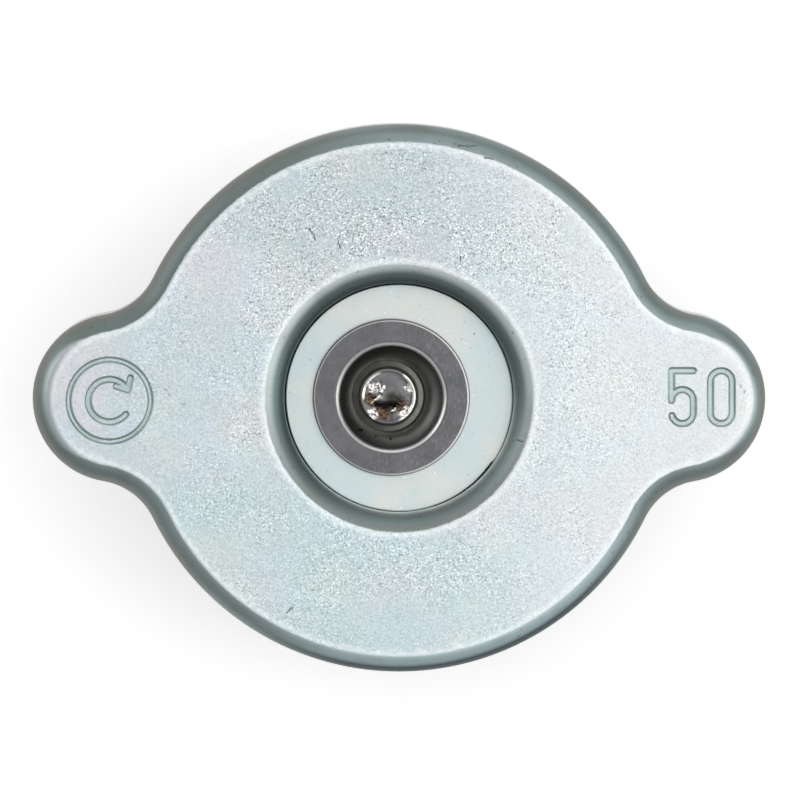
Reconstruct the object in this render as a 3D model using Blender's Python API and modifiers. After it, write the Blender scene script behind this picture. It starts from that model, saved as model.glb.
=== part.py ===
"""A two-eared radiator pressure cap of the small-neck size, with its swivelling valve assembly.

The cap stands on its pressure gasket. +Z points up out of the top face, the ears point along X and
the locking lugs face along Y. The origin is on the shell's axis, level with the gasket's sealing land.

From the top down: the pressed shell, a loose washer in its recess, the dished bush that the shell
turns on, the rivet, a friction washer, the diaphragm and its gasket, the bell with the main spring,
and the pressure valve with the small vacuum valve in its middle.
"""

import math

import bmesh
import bpy
from mathutils import Matrix

MM = 0.001

# Fits
REST_GAP = 0.05 * MM  # left between faces that bear on each other
RUNNING = 0.12 * MM  # radial clearance where one piece turns inside another
SWIVEL_PLAY = 0.1 * MM  # end play of the shell on its bush

# Shell, one steel pressing
EAR_REACH = 32.1 * MM  # from the axis to the tip of an ear
EAR_RADIUS = 7.4 * MM
EAR_FILLET = 5.9 * MM  # the hollow curve from an ear into the round body
SHELL_SHEET = 1.0 * MM
EDGE_RADIUS = 1.5 * MM
SKIRT_DEPTH = 12.3 * MM
SKIRT_DRAFT = 0.2 * MM  # how far the skirt spreads from top to bottom
RECESS_RADIUS = 10.25 * MM
RECESS_DEPTH = 4.35 * MM
RECESS_RIM = 2.2 * MM  # rounding of the recess's mouth
RECESS_CORNER = 0.4 * MM
LUG_WIDTH = 16.5 * MM
LUG_GRIP = 3.8 * MM  # how far a lug reaches in past the skirt
LUG_BEND = 0.6 * MM
LUG_CORNER = 2.0 * MM

# Swivel
FLOAT = 0.68 * MM  # the valve assembly sits this far to -X in its loose hole
RECESS_WASHER_THICKNESS = 0.8 * MM
RECESS_WASHER_GAP = 0.26 * MM
BUSH_SHEET = 0.7 * MM
BUSH_FLANGE_RADIUS = 6.84 * MM
BUSH_BARREL_RADIUS = 5.05 * MM
BUSH_LIP = 0.7 * MM
BUSH_FOOT = 0.8 * MM
RIVET_SHANK = 1.75 * MM
RIVET_HEAD_RADIUS = 2.5 * MM
RIVET_HEAD_HEIGHT = 1.3 * MM
RIVET_HEAD_ROUNDING = 0.6 * MM
RIVET_HOLLOW_RADIUS = 1.5 * MM
RIVET_HOLLOW_DEPTH = 0.25 * MM
RIVET_TAIL_RADIUS = 3.4 * MM
RIVET_TAIL_HEIGHT = 1.2 * MM
FRICTION_SHEET = 0.3 * MM
FRICTION_HEIGHT = 0.6 * MM
FRICTION_WIDTH = 3.4 * MM

# Upper seal
SKIRT_GAP = 1.92 * MM  # from the diaphragm to the skirt, on the side that the assembly leans to
DIAPHRAGM_SHEET = 0.3 * MM
DIAPHRAGM_RISE = 0.6 * MM
DIAPHRAGM_SLOPE = 1.8 * MM  # width of the slope between its plateau and its rim
UPPER_GASKET_THICKNESS = 1.4 * MM
UPPER_GASKET_OVERHANG = 0.2 * MM
UPPER_GASKET_GAP = 0.3 * MM
UPPER_GASKET_WIDTH = 8.3 * MM
NECK_DEPTH = 18.0 * MM  # from the pressure gasket's land up to the upper gasket's face

# Bell and main spring
BELL_RADIUS = 12.0 * MM  # enters the neck's bore; seals and shell are laid out outwards from it
BELL_SHEET = 0.6 * MM
BELL_CORNER = 1.2 * MM
BELL_WINDOW_WIDTH = 6.2 * MM
BELL_WINDOW_HEIGHT = 6.0 * MM
BELL_WINDOW_CORNER = 1.5 * MM
BELL_NOTCH_HEIGHT = 2.6 * MM
MAIN_WIRE = 1.5 * MM
MAIN_TURNS = 4.5

# Pressure valve
VALVE_LIFT = 2.5 * MM
LIFT_SPARE = 0.3 * MM
SEAT_SHEET = 0.6 * MM
SPRING_LANE = 3.0 * MM  # from the seat's wall out to the bell's
SEAT_FLANGE_GAP = 0.5 * MM
SEAT_BEND = 0.5 * MM
TAB_GAP = 0.4 * MM  # from the seat's wall to the bell's bent tabs
VALVE_SHEET = 0.6 * MM
VALVE_RADIUS = 12.4 * MM
HUB_BORE = 2.2 * MM
HUB_BEND = 0.4 * MM
HUB_FLARE_RADIUS = 3.8 * MM
GASKET_RADIUS = 14.0 * MM
GASKET_FACE = 1.15 * MM  # rubber under the valve plate
GASKET_LIP_THICKNESS = 0.65 * MM
GASKET_LIP_WIDTH = 2.2 * MM  # how far the lip folds back over the plate
GASKET_PORT = 4.2 * MM
GASKET_ROUNDING = 0.6 * MM
LAND_RADIUS = 12.5 * MM
LAND_WIDTH = 0.9 * MM
LAND_HEIGHT = 1.0 * MM
LAND_FLARE = 0.5 * MM

# Vacuum valve
VACUUM_DISC_RADIUS = 6.4 * MM
VACUUM_DISC_SHEET = 0.45 * MM
STEM_RADIUS = 1.3 * MM
STEM_HEAD_RADIUS = 2.4 * MM
STEM_HEAD_HEIGHT = 0.35 * MM
STEM_END = 0.5 * MM  # the peened end above the clip
CLIP_RADIUS = 3.6 * MM
CLIP_THICKNESS = 0.5 * MM
VACUUM_WIRE = 0.4 * MM
VACUUM_TURNS = 4.0
VACUUM_SPRING_LENGTH = 4.2 * MM
CLOSED_TURN_PITCH = 1.12  # rise of a coil's closed end turns, in wire diameters

# Facets
STEPS_LARGE = 40
STEPS_MEDIUM = 32
STEPS_SMALL = 20
STEPS_BEND = 3
STEPS_INNER_BEND = 2
STEPS_EAR = 6
STEPS_FILLET = 4
STEPS_BODY = 6
STEPS_LUG = 4
STEPS_TURN = 12

# Heights, stacked from the sealing land up
PLATE_BOTTOM = LAND_HEIGHT + GASKET_FACE + REST_GAP
PLATE_TOP = PLATE_BOTTOM + VALVE_SHEET
LIP_BOTTOM = PLATE_TOP + REST_GAP
LIP_TOP = LIP_BOTTOM + GASKET_LIP_THICKNESS
SEAT_FLOOR = PLATE_TOP + REST_GAP + SEAT_SHEET
HUB_TOP = SEAT_FLOOR + REST_GAP + VALVE_SHEET
BELL_BOTTOM = LIP_TOP + VALVE_LIFT + LIFT_SPARE
TAB_TOP = BELL_BOTTOM + BELL_SHEET
SEAT_TOP = TAB_TOP + REST_GAP + SEAT_SHEET
UPPER_GASKET_TOP = NECK_DEPTH + UPPER_GASKET_THICKNESS
DIAPHRAGM_RIM_TOP = UPPER_GASKET_TOP + REST_GAP + DIAPHRAGM_SHEET
DIAPHRAGM_TOP = DIAPHRAGM_RIM_TOP + DIAPHRAGM_RISE
BELL_TOP = DIAPHRAGM_TOP - DIAPHRAGM_SHEET - REST_GAP
BELL_CEILING = BELL_TOP - BELL_SHEET
BUSH_FLOOR = DIAPHRAGM_TOP + REST_GAP + BUSH_SHEET
FRICTION_TOP = DIAPHRAGM_TOP + REST_GAP + FRICTION_HEIGHT
FLOOR_TOP = FRICTION_TOP + REST_GAP + SHELL_SHEET
WASHER_BOTTOM = FLOOR_TOP + REST_GAP
WASHER_TOP = WASHER_BOTTOM + RECESS_WASHER_THICKNESS
BUSH_TOP = WASHER_TOP + SWIVEL_PLAY + BUSH_SHEET
SHELL_TOP = FLOOR_TOP + RECESS_DEPTH
SKIRT_EDGE = SHELL_TOP - SKIRT_DEPTH
LUG_BOTTOM = SKIRT_EDGE - LUG_BEND - SHELL_SHEET
RIVET_TOP = BUSH_FLOOR + REST_GAP + RIVET_HEAD_HEIGHT
RIVET_BOTTOM = BELL_CEILING - REST_GAP - RIVET_TAIL_HEIGHT
DISC_TOP = LAND_HEIGHT - REST_GAP
DISC_BOTTOM = DISC_TOP - VACUUM_DISC_SHEET
STEM_HEAD_TOP = DISC_BOTTOM - REST_GAP
CLIP_BOTTOM = HUB_TOP + 2 * REST_GAP + VACUUM_SPRING_LENGTH
STEM_TOP = CLIP_BOTTOM + CLIP_THICKNESS + STEM_END

# Radii that follow from a neighbour
SWIVEL_HOLE = BUSH_BARREL_RADIUS + FLOAT + RUNNING
RIVET_HOLE = RIVET_SHANK + RUNNING
BELL_BORE = BELL_RADIUS - BELL_SHEET
SEAT_RADIUS = BELL_BORE - SPRING_LANE
UPPER_GASKET_BORE = BELL_RADIUS + UPPER_GASKET_GAP
UPPER_GASKET_RADIUS = UPPER_GASKET_BORE + UPPER_GASKET_WIDTH
DIAPHRAGM_RADIUS = UPPER_GASKET_RADIUS - UPPER_GASKET_OVERHANG
BODY_RADIUS = DIAPHRAGM_RADIUS + SKIRT_GAP + FLOAT + SHELL_SHEET  # at the skirt's lower edge
SEAT_FLANGE_RADIUS = BELL_BORE - SEAT_FLANGE_GAP
MAIN_SPRING_RADIUS = (SEAT_RADIUS + SEAT_FLANGE_RADIUS) / 2
VACUUM_SPRING_RADIUS = (HUB_BORE + HUB_BEND + HUB_FLARE_RADIUS) / 2 - VACUUM_WIRE / 4
TAB_RADIUS = SEAT_RADIUS + TAB_GAP
STEM_HOLE = STEM_RADIUS + REST_GAP

VALVE_AXIS = (-FLOAT, 0.0, 0.0)
SHELL_AXIS = (0.0, 0.0, 0.0)


def clear_scene():
    for obj in list(bpy.data.objects):
        bpy.data.objects.remove(obj, do_unlink=True)


def new_collection(name):
    collection = bpy.data.collections.new(name)
    bpy.context.scene.collection.children.link(collection)
    return collection


def new_material(name, colour, metallic, roughness):
    material = bpy.data.materials.new(name)
    material.use_nodes = True
    shader = material.node_tree.nodes["Principled BSDF"]
    shader.inputs["Base Color"].default_value = (*colour, 1.0)
    shader.inputs["Metallic"].default_value = metallic
    shader.inputs["Roughness"].default_value = roughness
    return material


def new_object(name, data, axis=SHELL_AXIS):
    obj = bpy.data.objects.new(name, data)
    obj.location = axis
    bpy.context.scene.collection.objects.link(obj)
    return obj


def finish(obj, material):
    """Turns the modified object into a plain mesh, shaded smooth between its real corners."""
    graph = bpy.context.evaluated_depsgraph_get()
    mesh = bpy.data.meshes.new_from_object(obj.evaluated_get(graph))
    mesh.name = obj.name
    work = bmesh.new()
    work.from_mesh(mesh)
    bmesh.ops.remove_doubles(work, verts=work.verts, dist=MM / 1000)
    work.to_mesh(mesh)
    work.free()
    mesh.materials.clear()
    mesh.materials.append(material)
    mesh.shade_smooth()
    mesh.set_sharp_from_angle(angle=math.radians(40))
    finished = bpy.data.objects.new(obj.name, mesh)
    finished.matrix_world = obj.matrix_world.copy()
    name = obj.name
    bpy.data.objects.remove(obj, do_unlink=True)
    finished.name = name
    bpy.data.collections["radiator_cap"].objects.link(finished)
    return finished


def rounded_path(points, steps=STEPS_BEND):
    """A section line through (r, z) corners. A third number in a corner is the radius that rounds it."""
    path = []
    last = len(points) - 1
    for i, (r, z, *radius) in enumerate(points):
        if not radius or i in (0, last):
            path.append((r, z))
            continue
        back = (points[i - 1][0] - r, points[i - 1][1] - z)
        ahead = (points[i + 1][0] - r, points[i + 1][1] - z)
        back_length, ahead_length = math.hypot(*back), math.hypot(*ahead)
        back = (back[0] / back_length, back[1] / back_length)
        ahead = (ahead[0] / ahead_length, ahead[1] / ahead_length)
        half = math.acos(max(-1.0, min(1.0, back[0] * ahead[0] + back[1] * ahead[1]))) / 2
        run = min(radius[0] / math.tan(half), 0.45 * back_length, 0.45 * ahead_length)
        bend = run * math.tan(half)
        middle = (back[0] + ahead[0], back[1] + ahead[1])
        reach = bend / math.sin(half) / math.hypot(*middle)
        centre = (r + middle[0] * reach, z + middle[1] * reach)
        start = math.atan2(z + back[1] * run - centre[1], r + back[0] * run - centre[0])
        end = math.atan2(z + ahead[1] * run - centre[1], r + ahead[0] * run - centre[0])
        sweep = (end - start + math.pi) % (2 * math.pi) - math.pi
        for k in range(steps + 1):
            angle = start + sweep * k / steps
            path.append((centre[0] + bend * math.cos(angle), centre[1] + bend * math.sin(angle)))
    return path


def spun(name, path, steps, closed, axis):
    """The section line turned round Z by a Screw modifier."""
    points = [(r, 0.0, z) for r, z in path]
    edges = [(i, i + 1) for i in range(len(points) - 1)]
    if closed:
        edges.append((len(points) - 1, 0))
    mesh = bpy.data.meshes.new(name)
    mesh.from_pydata(points, edges, [])
    obj = new_object(name, mesh, axis)
    screw = obj.modifiers.new("Turn", "SCREW")
    screw.axis = "Z"
    screw.angle = 2 * math.pi
    screw.steps = screw.render_steps = steps
    screw.use_merge_vertices = True
    screw.merge_threshold = MM / 1000
    return obj


def solidify(obj, sheet):
    """Gives the open skin its sheet thickness, on the side away from its normals."""
    wall = obj.modifiers.new("Sheet", "SOLIDIFY")
    wall.thickness = sheet
    wall.offset = -1.0
    wall.use_even_offset = True


def turned(name, corners, material, steps=STEPS_MEDIUM, axis=VALVE_AXIS, touches_axis=False):
    """A solid of revolution. Its corners run from the top down the outer side and back up the bore."""
    path = rounded_path([*corners, corners[0]])[:-1] if not touches_axis else rounded_path(corners)
    return finish(spun(name, path, steps, not touches_axis, axis), material)


def pressed(name, corners, sheet, steps=STEPS_MEDIUM, bend_steps=STEPS_INNER_BEND):
    """A round sheet-metal pressing: the skin that faces left of the line's direction, with a thickness."""
    obj = spun(name, rounded_path(corners, bend_steps), steps, False, VALVE_AXIS)
    solidify(obj, sheet)
    return obj


def coil(name, radius, wire, bottom, top, turns, material, axis=VALVE_AXIS):
    """A compression spring with one closed turn at each end, between two flat seats."""
    low, high = bottom + REST_GAP + wire / 2, top - REST_GAP - wire / 2
    closed_rise = CLOSED_TURN_PITCH * wire
    open_rise = (high - low - 2 * closed_rise) / (turns - 2)
    count = round(turns * STEPS_TURN)
    curve = bpy.data.curves.new(name, "CURVE")
    curve.dimensions = "3D"
    curve.bevel_depth = wire / 2
    curve.bevel_resolution = 2
    curve.use_fill_caps = True
    line = curve.splines.new("POLY")
    line.points.add(count)
    for i, point in enumerate(line.points):
        turn = turns * i / count
        closed_turns = min(turn, 1.0) + max(turn - (turns - 1), 0.0)
        z = low + closed_rise * closed_turns + open_rise * (turn - closed_turns)
        angle = 2 * math.pi * turn
        point.co = (radius * math.cos(angle), radius * math.sin(angle), z, 1.0)
    return finish(new_object(name, curve, axis), material)


def plan_stations():
    """Points and outward normals round the skirt's lower edge, from the +X ear's tip, one turn.

    A quarter is an ear arc, a hollow fillet and a stretch of the round body, all tangent.
    """
    ear_centre = EAR_REACH - EAR_RADIUS
    to_body, to_ear = BODY_RADIUS + EAR_FILLET, EAR_RADIUS + EAR_FILLET
    fillet_x = (to_body**2 - to_ear**2 + ear_centre**2) / (2 * ear_centre)
    fillet_y = math.sqrt(to_body**2 - fillet_x**2)
    ear_end = math.atan2(fillet_y, fillet_x - ear_centre)
    body_start = math.atan2(fillet_y, fillet_x)
    lug_start = math.pi / 2 - math.asin(LUG_WIDTH / 2 / BODY_RADIUS)

    quarter = []
    for k in range(STEPS_EAR):
        angle = ear_end * k / STEPS_EAR
        normal = (math.cos(angle), math.sin(angle))
        quarter.append(((ear_centre + EAR_RADIUS * normal[0], EAR_RADIUS * normal[1]), normal))
    for k in range(STEPS_FILLET):
        angle = ear_end + (body_start - ear_end) * k / STEPS_FILLET
        normal = (math.cos(angle), math.sin(angle))
        quarter.append(((fillet_x - EAR_FILLET * normal[0], fillet_y - EAR_FILLET * normal[1]), normal))
    body_angles = [body_start + (lug_start - body_start) * k / STEPS_BODY for k in range(STEPS_BODY)]
    body_angles += [lug_start + (math.pi / 2 - lug_start) * k / STEPS_LUG for k in range(STEPS_LUG)]
    for angle in body_angles:
        normal = (math.cos(angle), math.sin(angle))
        quarter.append(((BODY_RADIUS * normal[0], BODY_RADIUS * normal[1]), normal))

    top = ((0.0, BODY_RADIUS), (0.0, 1.0))
    half = quarter + [top] + [mirrored(s, -1, 1) for s in reversed(quarter[1:])]
    tip = mirrored(quarter[0], -1, 1)
    return half + [tip] + [mirrored(s, 1, -1) for s in reversed(half[1:])]


def mirrored(station, x_sign, y_sign):
    (x, y), (nx, ny) = station
    return (x * x_sign, y * y_sign), (nx * x_sign, ny * y_sign)


def lug_reach(angle_from_middle):
    """How far a lug's flat reaches in from the skirt's outside, less its rounded corners."""
    along = abs(angle_from_middle) * BODY_RADIUS
    half_width = math.asin(LUG_WIDTH / 2 / BODY_RADIUS) * BODY_RADIUS
    into_corner = min(max(along - (half_width - LUG_CORNER), 0.0), LUG_CORNER)
    return SHELL_SHEET + LUG_GRIP - LUG_CORNER + math.sqrt(LUG_CORNER**2 - into_corner**2)


def make_shell(material):
    """The pressed shell: recess, flat top, rounded edge and skirt as one loft, then the two lugs."""
    stations = plan_stations()
    count = len(stations)
    recess = rounded_path(
        [
            (SWIVEL_HOLE, FLOOR_TOP),
            (RECESS_RADIUS, FLOOR_TOP, RECESS_CORNER),
            (RECESS_RADIUS, SHELL_TOP, RECESS_RIM),
            (RECESS_RADIUS + 2 * RECESS_RIM, SHELL_TOP),
        ]
    )[:-1]
    edge = rounded_path(
        [
            (-SKIRT_DRAFT - 3 * EDGE_RADIUS, SHELL_TOP),
            (-SKIRT_DRAFT, SHELL_TOP, EDGE_RADIUS),
            (0.0, SKIRT_EDGE),
        ]
    )[1:]
    work = bmesh.new()
    loops = []
    for radius, z in recess:
        angles = [math.atan2(y, x) for (x, y), normal in stations]
        loops.append([work.verts.new((radius * math.cos(a), radius * math.sin(a), z)) for a in angles])
    for offset, z in edge:
        loop = [work.verts.new((x + offset * nx, y + offset * ny, z)) for (x, y), (nx, ny) in stations]
        loops.append(loop)
    for inner, outer in zip(loops, loops[1:]):
        for i in range(count):
            j = (i + 1) % count
            work.faces.new((inner[i], outer[i], outer[j], inner[j]))

    bend = rounded_path(
        [
            (0.0, SKIRT_EDGE + LUG_BEND),
            (0.0, LUG_BOTTOM, LUG_BEND + SHELL_SHEET),
            (-SHELL_SHEET - LUG_GRIP, LUG_BOTTOM),
        ]
    )[2:-1]
    for middle in (count // 4, 3 * count // 4):
        previous = None
        for i in range(middle - STEPS_LUG, middle + STEPS_LUG + 1):
            (x, y), (nx, ny) = stations[i]
            reach = lug_reach(math.atan2(ny, nx) - math.copysign(math.pi / 2, ny))
            column = [loops[-1][i]]
            for offset, z in [*bend, (-reach, LUG_BOTTOM)]:
                column.append(work.verts.new((x + offset * nx, y + offset * ny, z)))
            if previous:
                for k in range(len(column) - 1):
                    work.faces.new((previous[k], previous[k + 1], column[k + 1], column[k]))
            previous = column

    mesh = bpy.data.meshes.new("cap_shell")
    work.to_mesh(mesh)
    work.free()
    obj = new_object("cap_shell", mesh)
    solidify(obj, SHELL_SHEET)
    return finish(obj, material)


def make_recess_washer(material):
    """The loose flat washer that lies in the recess, under the bush's flange."""
    outer = RECESS_RADIUS - RECESS_WASHER_GAP
    corners = [
        (SWIVEL_HOLE, WASHER_TOP),
        (outer, WASHER_TOP, RECESS_WASHER_THICKNESS / 6),
        (outer, WASHER_BOTTOM, RECESS_CORNER),
        (SWIVEL_HOLE, WASHER_BOTTOM),
    ]
    return turned("recess_washer", corners, material, axis=SHELL_AXIS)


def make_bush(material):
    """The dished bush: a flange over the recess washer, and a cup down to the diaphragm."""
    wall = BUSH_BARREL_RADIUS - BUSH_SHEET
    corners = [
        (RIVET_HOLE, BUSH_FLOOR),
        (wall, BUSH_FLOOR, BUSH_FOOT),
        (wall, BUSH_TOP, BUSH_LIP),
        (BUSH_FLANGE_RADIUS, BUSH_TOP),
    ]
    return finish(pressed("swivel_bush", corners, BUSH_SHEET, bend_steps=STEPS_BEND), material)


def make_rivet(material):
    """The rivet: a closed head with a hollow on top, a shank, and a round head inside the bell."""
    head_base = BUSH_FLOOR + REST_GAP
    tail_top = BELL_CEILING - REST_GAP
    corners = [
        (0.0, RIVET_TOP - RIVET_HOLLOW_DEPTH),
        (RIVET_HOLLOW_RADIUS, RIVET_TOP),
        (RIVET_HEAD_RADIUS, RIVET_TOP, RIVET_HEAD_ROUNDING),
        (RIVET_HEAD_RADIUS, head_base),
        (RIVET_SHANK, head_base),
        (RIVET_SHANK, tail_top),
        (RIVET_TAIL_RADIUS, tail_top),
        (RIVET_TAIL_RADIUS, RIVET_BOTTOM, RIVET_TAIL_HEIGHT / 2),
        (0.0, RIVET_BOTTOM),
    ]
    return turned("rivet", corners, material, STEPS_SMALL, touches_axis=True)


def make_friction_washer(material):
    """The coned spring washer that keeps the shell from rattling on the diaphragm."""
    inner = BUSH_BARREL_RADIUS + RUNNING
    outer = inner + FRICTION_WIDTH
    corners = [
        (inner, DIAPHRAGM_TOP + REST_GAP + FRICTION_SHEET),
        (outer, FRICTION_TOP),
        (outer, FRICTION_TOP - FRICTION_SHEET),
        (inner, DIAPHRAGM_TOP + REST_GAP),
    ]
    return turned("friction_washer", corners, material)


def make_diaphragm(material):
    """The springy disc, raised in the middle, that presses the upper gasket on to the neck."""
    slope_start = BELL_RADIUS - BELL_CORNER / 2
    corners = [
        (RIVET_HOLE, DIAPHRAGM_TOP),
        (slope_start, DIAPHRAGM_TOP, 2 * DIAPHRAGM_RISE),
        (slope_start + DIAPHRAGM_SLOPE, DIAPHRAGM_RIM_TOP, 2 * DIAPHRAGM_RISE),
        (DIAPHRAGM_RADIUS, DIAPHRAGM_RIM_TOP),
    ]
    return finish(pressed("diaphragm", corners, DIAPHRAGM_SHEET, STEPS_LARGE), material)


def make_upper_gasket(material):
    """The rubber ring under the diaphragm, which seals on the neck's top rim."""
    corners = [
        (UPPER_GASKET_BORE, UPPER_GASKET_TOP),
        (UPPER_GASKET_RADIUS, UPPER_GASKET_TOP),
        (UPPER_GASKET_RADIUS, NECK_DEPTH, UPPER_GASKET_THICKNESS / 3),
        (UPPER_GASKET_BORE, NECK_DEPTH),
    ]
    return turned("upper_gasket", corners, material, STEPS_LARGE)


def bar_cutter(name, width, bottom, top, corner, angle):
    """A bar across the bell, with its long edges rounded, that cuts both walls at once."""
    length = 3 * BELL_RADIUS
    bpy.ops.mesh.primitive_cube_add(size=1.0)
    obj = bpy.context.active_object
    obj.name = name
    size = Matrix.Diagonal((length, width, top - bottom, 1.0))
    obj.data.transform(Matrix.Translation((0.0, 0.0, (top + bottom) / 2)) @ size)
    work = bmesh.new()
    work.from_mesh(obj.data)
    long_edges = [e for e in work.edges if abs(e.verts[0].co.x - e.verts[1].co.x) > length / 2]
    bmesh.ops.bevel(
        work, geom=long_edges, offset=corner, offset_type="OFFSET", segments=3, profile=0.5, affect="EDGES"
    )
    work.to_mesh(obj.data)
    work.free()
    obj.location = VALVE_AXIS
    obj.rotation_euler = (0.0, 0.0, angle)
    obj.hide_render = True
    obj.display_type = "WIRE"
    for collection in list(obj.users_collection):
        collection.objects.unlink(obj)
    bpy.data.collections["cutters"].objects.link(obj)
    return obj


def make_bell(material):
    """The bell that holds the main spring: four windows in its wall, four tabs turned in at its foot."""
    corners = [
        (RIVET_HOLE, BELL_TOP),
        (BELL_RADIUS, BELL_TOP, BELL_CORNER),
        (BELL_RADIUS, BELL_BOTTOM, BELL_SHEET),
        (TAB_RADIUS, BELL_BOTTOM),
    ]
    bell = pressed("bell_housing", corners, BELL_SHEET, STEPS_LARGE)
    window_middle = (BELL_BOTTOM + BELL_NOTCH_HEIGHT + BELL_TOP - BELL_CORNER) / 2
    window = (window_middle - BELL_WINDOW_HEIGHT / 2, window_middle + BELL_WINDOW_HEIGHT / 2)
    notch = (BELL_BOTTOM - 2 * BELL_WINDOW_CORNER, BELL_BOTTOM + BELL_NOTCH_HEIGHT)
    for k in range(4):
        bottom, top = window if k % 2 == 0 else notch
        size = (BELL_WINDOW_WIDTH, bottom, top, BELL_WINDOW_CORNER)
        cutter = bar_cutter(f"bell_cutter_{k}", *size, k * math.pi / 4)
        cut = bell.modifiers.new(f"Cut {k}", "BOOLEAN")
        cut.operation = "DIFFERENCE"
        cut.object = cutter
    return finish(bell, material)


def make_spring_seat(material):
    """The pressed cup that the main spring bears on; the bell's tabs hold it by its flange."""
    wall = SEAT_RADIUS - SEAT_SHEET
    corners = [
        (HUB_BORE + VALVE_SHEET + REST_GAP, SEAT_FLOOR),
        (wall, SEAT_FLOOR, SEAT_BEND),
        (wall, SEAT_TOP, SEAT_BEND),
        (SEAT_FLANGE_RADIUS, SEAT_TOP),
    ]
    return finish(pressed("spring_seat", corners, SEAT_SHEET), material)


def make_valve_plate(material):
    """The plate inside the pressure gasket, with a drawn hub that is flared over the spring seat."""
    corners = [
        (VALVE_RADIUS, PLATE_BOTTOM),
        (HUB_BORE, PLATE_BOTTOM, HUB_BEND),
        (HUB_BORE, HUB_TOP, HUB_BEND),
        (HUB_FLARE_RADIUS, HUB_TOP),
    ]
    return finish(pressed("valve_plate", corners, VALVE_SHEET, STEPS_LARGE), material)


def make_pressure_gasket(material):
    """The rubber seal that wraps the valve plate's edge, with a flat land at its foot."""
    groove = VALVE_RADIUS + REST_GAP
    lip_inner = VALVE_RADIUS - GASKET_LIP_WIDTH
    land_outer, land_inner = LAND_RADIUS + LAND_WIDTH / 2, LAND_RADIUS - LAND_WIDTH / 2
    plate_bottom = PLATE_BOTTOM - REST_GAP
    corners = [
        (lip_inner, LIP_TOP),
        (GASKET_RADIUS, LIP_TOP, GASKET_ROUNDING),
        (GASKET_RADIUS, LAND_HEIGHT),
        (land_outer + LAND_FLARE, LAND_HEIGHT),
        (land_outer, 0.0),
        (land_inner, 0.0),
        (land_inner - LAND_FLARE, LAND_HEIGHT),
        (GASKET_PORT, LAND_HEIGHT),
        (GASKET_PORT, plate_bottom),
        (groove, plate_bottom),
        (groove, LIP_BOTTOM),
        (lip_inner, LIP_BOTTOM),
    ]
    return turned("pressure_gasket", corners, material, STEPS_LARGE)


def make_vacuum_disc(material):
    """The small disc that closes the gasket's port from below."""
    corners = [
        (STEM_HOLE, DISC_TOP),
        (VACUUM_DISC_RADIUS, DISC_TOP, VACUUM_DISC_SHEET / 3),
        (VACUUM_DISC_RADIUS, DISC_BOTTOM),
        (STEM_HOLE, DISC_BOTTOM),
    ]
    return turned("vacuum_disc", corners, material)


def make_vacuum_stem(material):
    """The headed pin that carries the vacuum disc up through the hub."""
    corners = [
        (0.0, STEM_TOP),
        (STEM_RADIUS, STEM_TOP, STEM_RADIUS / 3),
        (STEM_RADIUS, STEM_HEAD_TOP),
        (STEM_HEAD_RADIUS, STEM_HEAD_TOP),
        (STEM_HEAD_RADIUS, STEM_HEAD_TOP - STEM_HEAD_HEIGHT, STEM_HEAD_HEIGHT / 2),
        (0.0, STEM_HEAD_TOP - STEM_HEAD_HEIGHT),
    ]
    return turned("vacuum_stem", corners, material, STEPS_SMALL, touches_axis=True)


def make_stem_clip(material):
    """The washer pressed on the stem, which holds the vacuum spring down."""
    corners = [
        (STEM_HOLE, CLIP_BOTTOM + CLIP_THICKNESS),
        (CLIP_RADIUS, CLIP_BOTTOM + CLIP_THICKNESS, CLIP_THICKNESS / 3),
        (CLIP_RADIUS, CLIP_BOTTOM),
        (STEM_HOLE, CLIP_BOTTOM),
    ]
    return turned("stem_clip", corners, material, STEPS_SMALL)


def main():
    clear_scene()
    new_collection("radiator_cap")
    new_collection("cutters")
    zinc = new_material("zinc_plated_steel", (0.70, 0.77, 0.79), 1.0, 0.42)
    bush_steel = new_material("phosphated_steel", (0.20, 0.19, 0.20), 1.0, 0.45)
    rivet_steel = new_material("bright_steel", (0.50, 0.48, 0.46), 1.0, 0.28)
    stainless = new_material("stainless_steel", (0.56, 0.56, 0.55), 1.0, 0.30)
    spring_steel = new_material("spring_steel", (0.32, 0.32, 0.33), 1.0, 0.38)
    brass = new_material("brass", (0.72, 0.53, 0.24), 1.0, 0.32)
    rubber = new_material("black_rubber", (0.02, 0.02, 0.02), 0.0, 0.70)

    make_shell(zinc)
    make_recess_washer(zinc)
    make_bush(bush_steel)
    make_rivet(rivet_steel)
    make_friction_washer(spring_steel)
    make_diaphragm(stainless)
    make_upper_gasket(rubber)
    make_bell(stainless)
    coil(
        "pressure_spring", MAIN_SPRING_RADIUS, MAIN_WIRE, SEAT_TOP, BELL_CEILING, MAIN_TURNS, spring_steel
    )
    make_spring_seat(stainless)
    make_valve_plate(stainless)
    make_pressure_gasket(rubber)
    make_vacuum_disc(brass)
    make_vacuum_stem(brass)
    coil(
        "vacuum_spring", VACUUM_SPRING_RADIUS, VACUUM_WIRE, HUB_TOP, CLIP_BOTTOM, VACUUM_TURNS, stainless
    )
    make_stem_clip(brass)


main()
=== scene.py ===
"""Looks of the two-eared radiator cap: fine meshes, worn finishes, floor, light and camera.

+Z points up out of the cap's top face and the ears point along X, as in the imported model.
"""

import math

import bmesh
import bpy
import numpy as np
from mathutils import Matrix, Vector, noise
from mathutils.geometry import delaunay_2d_cdt


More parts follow.
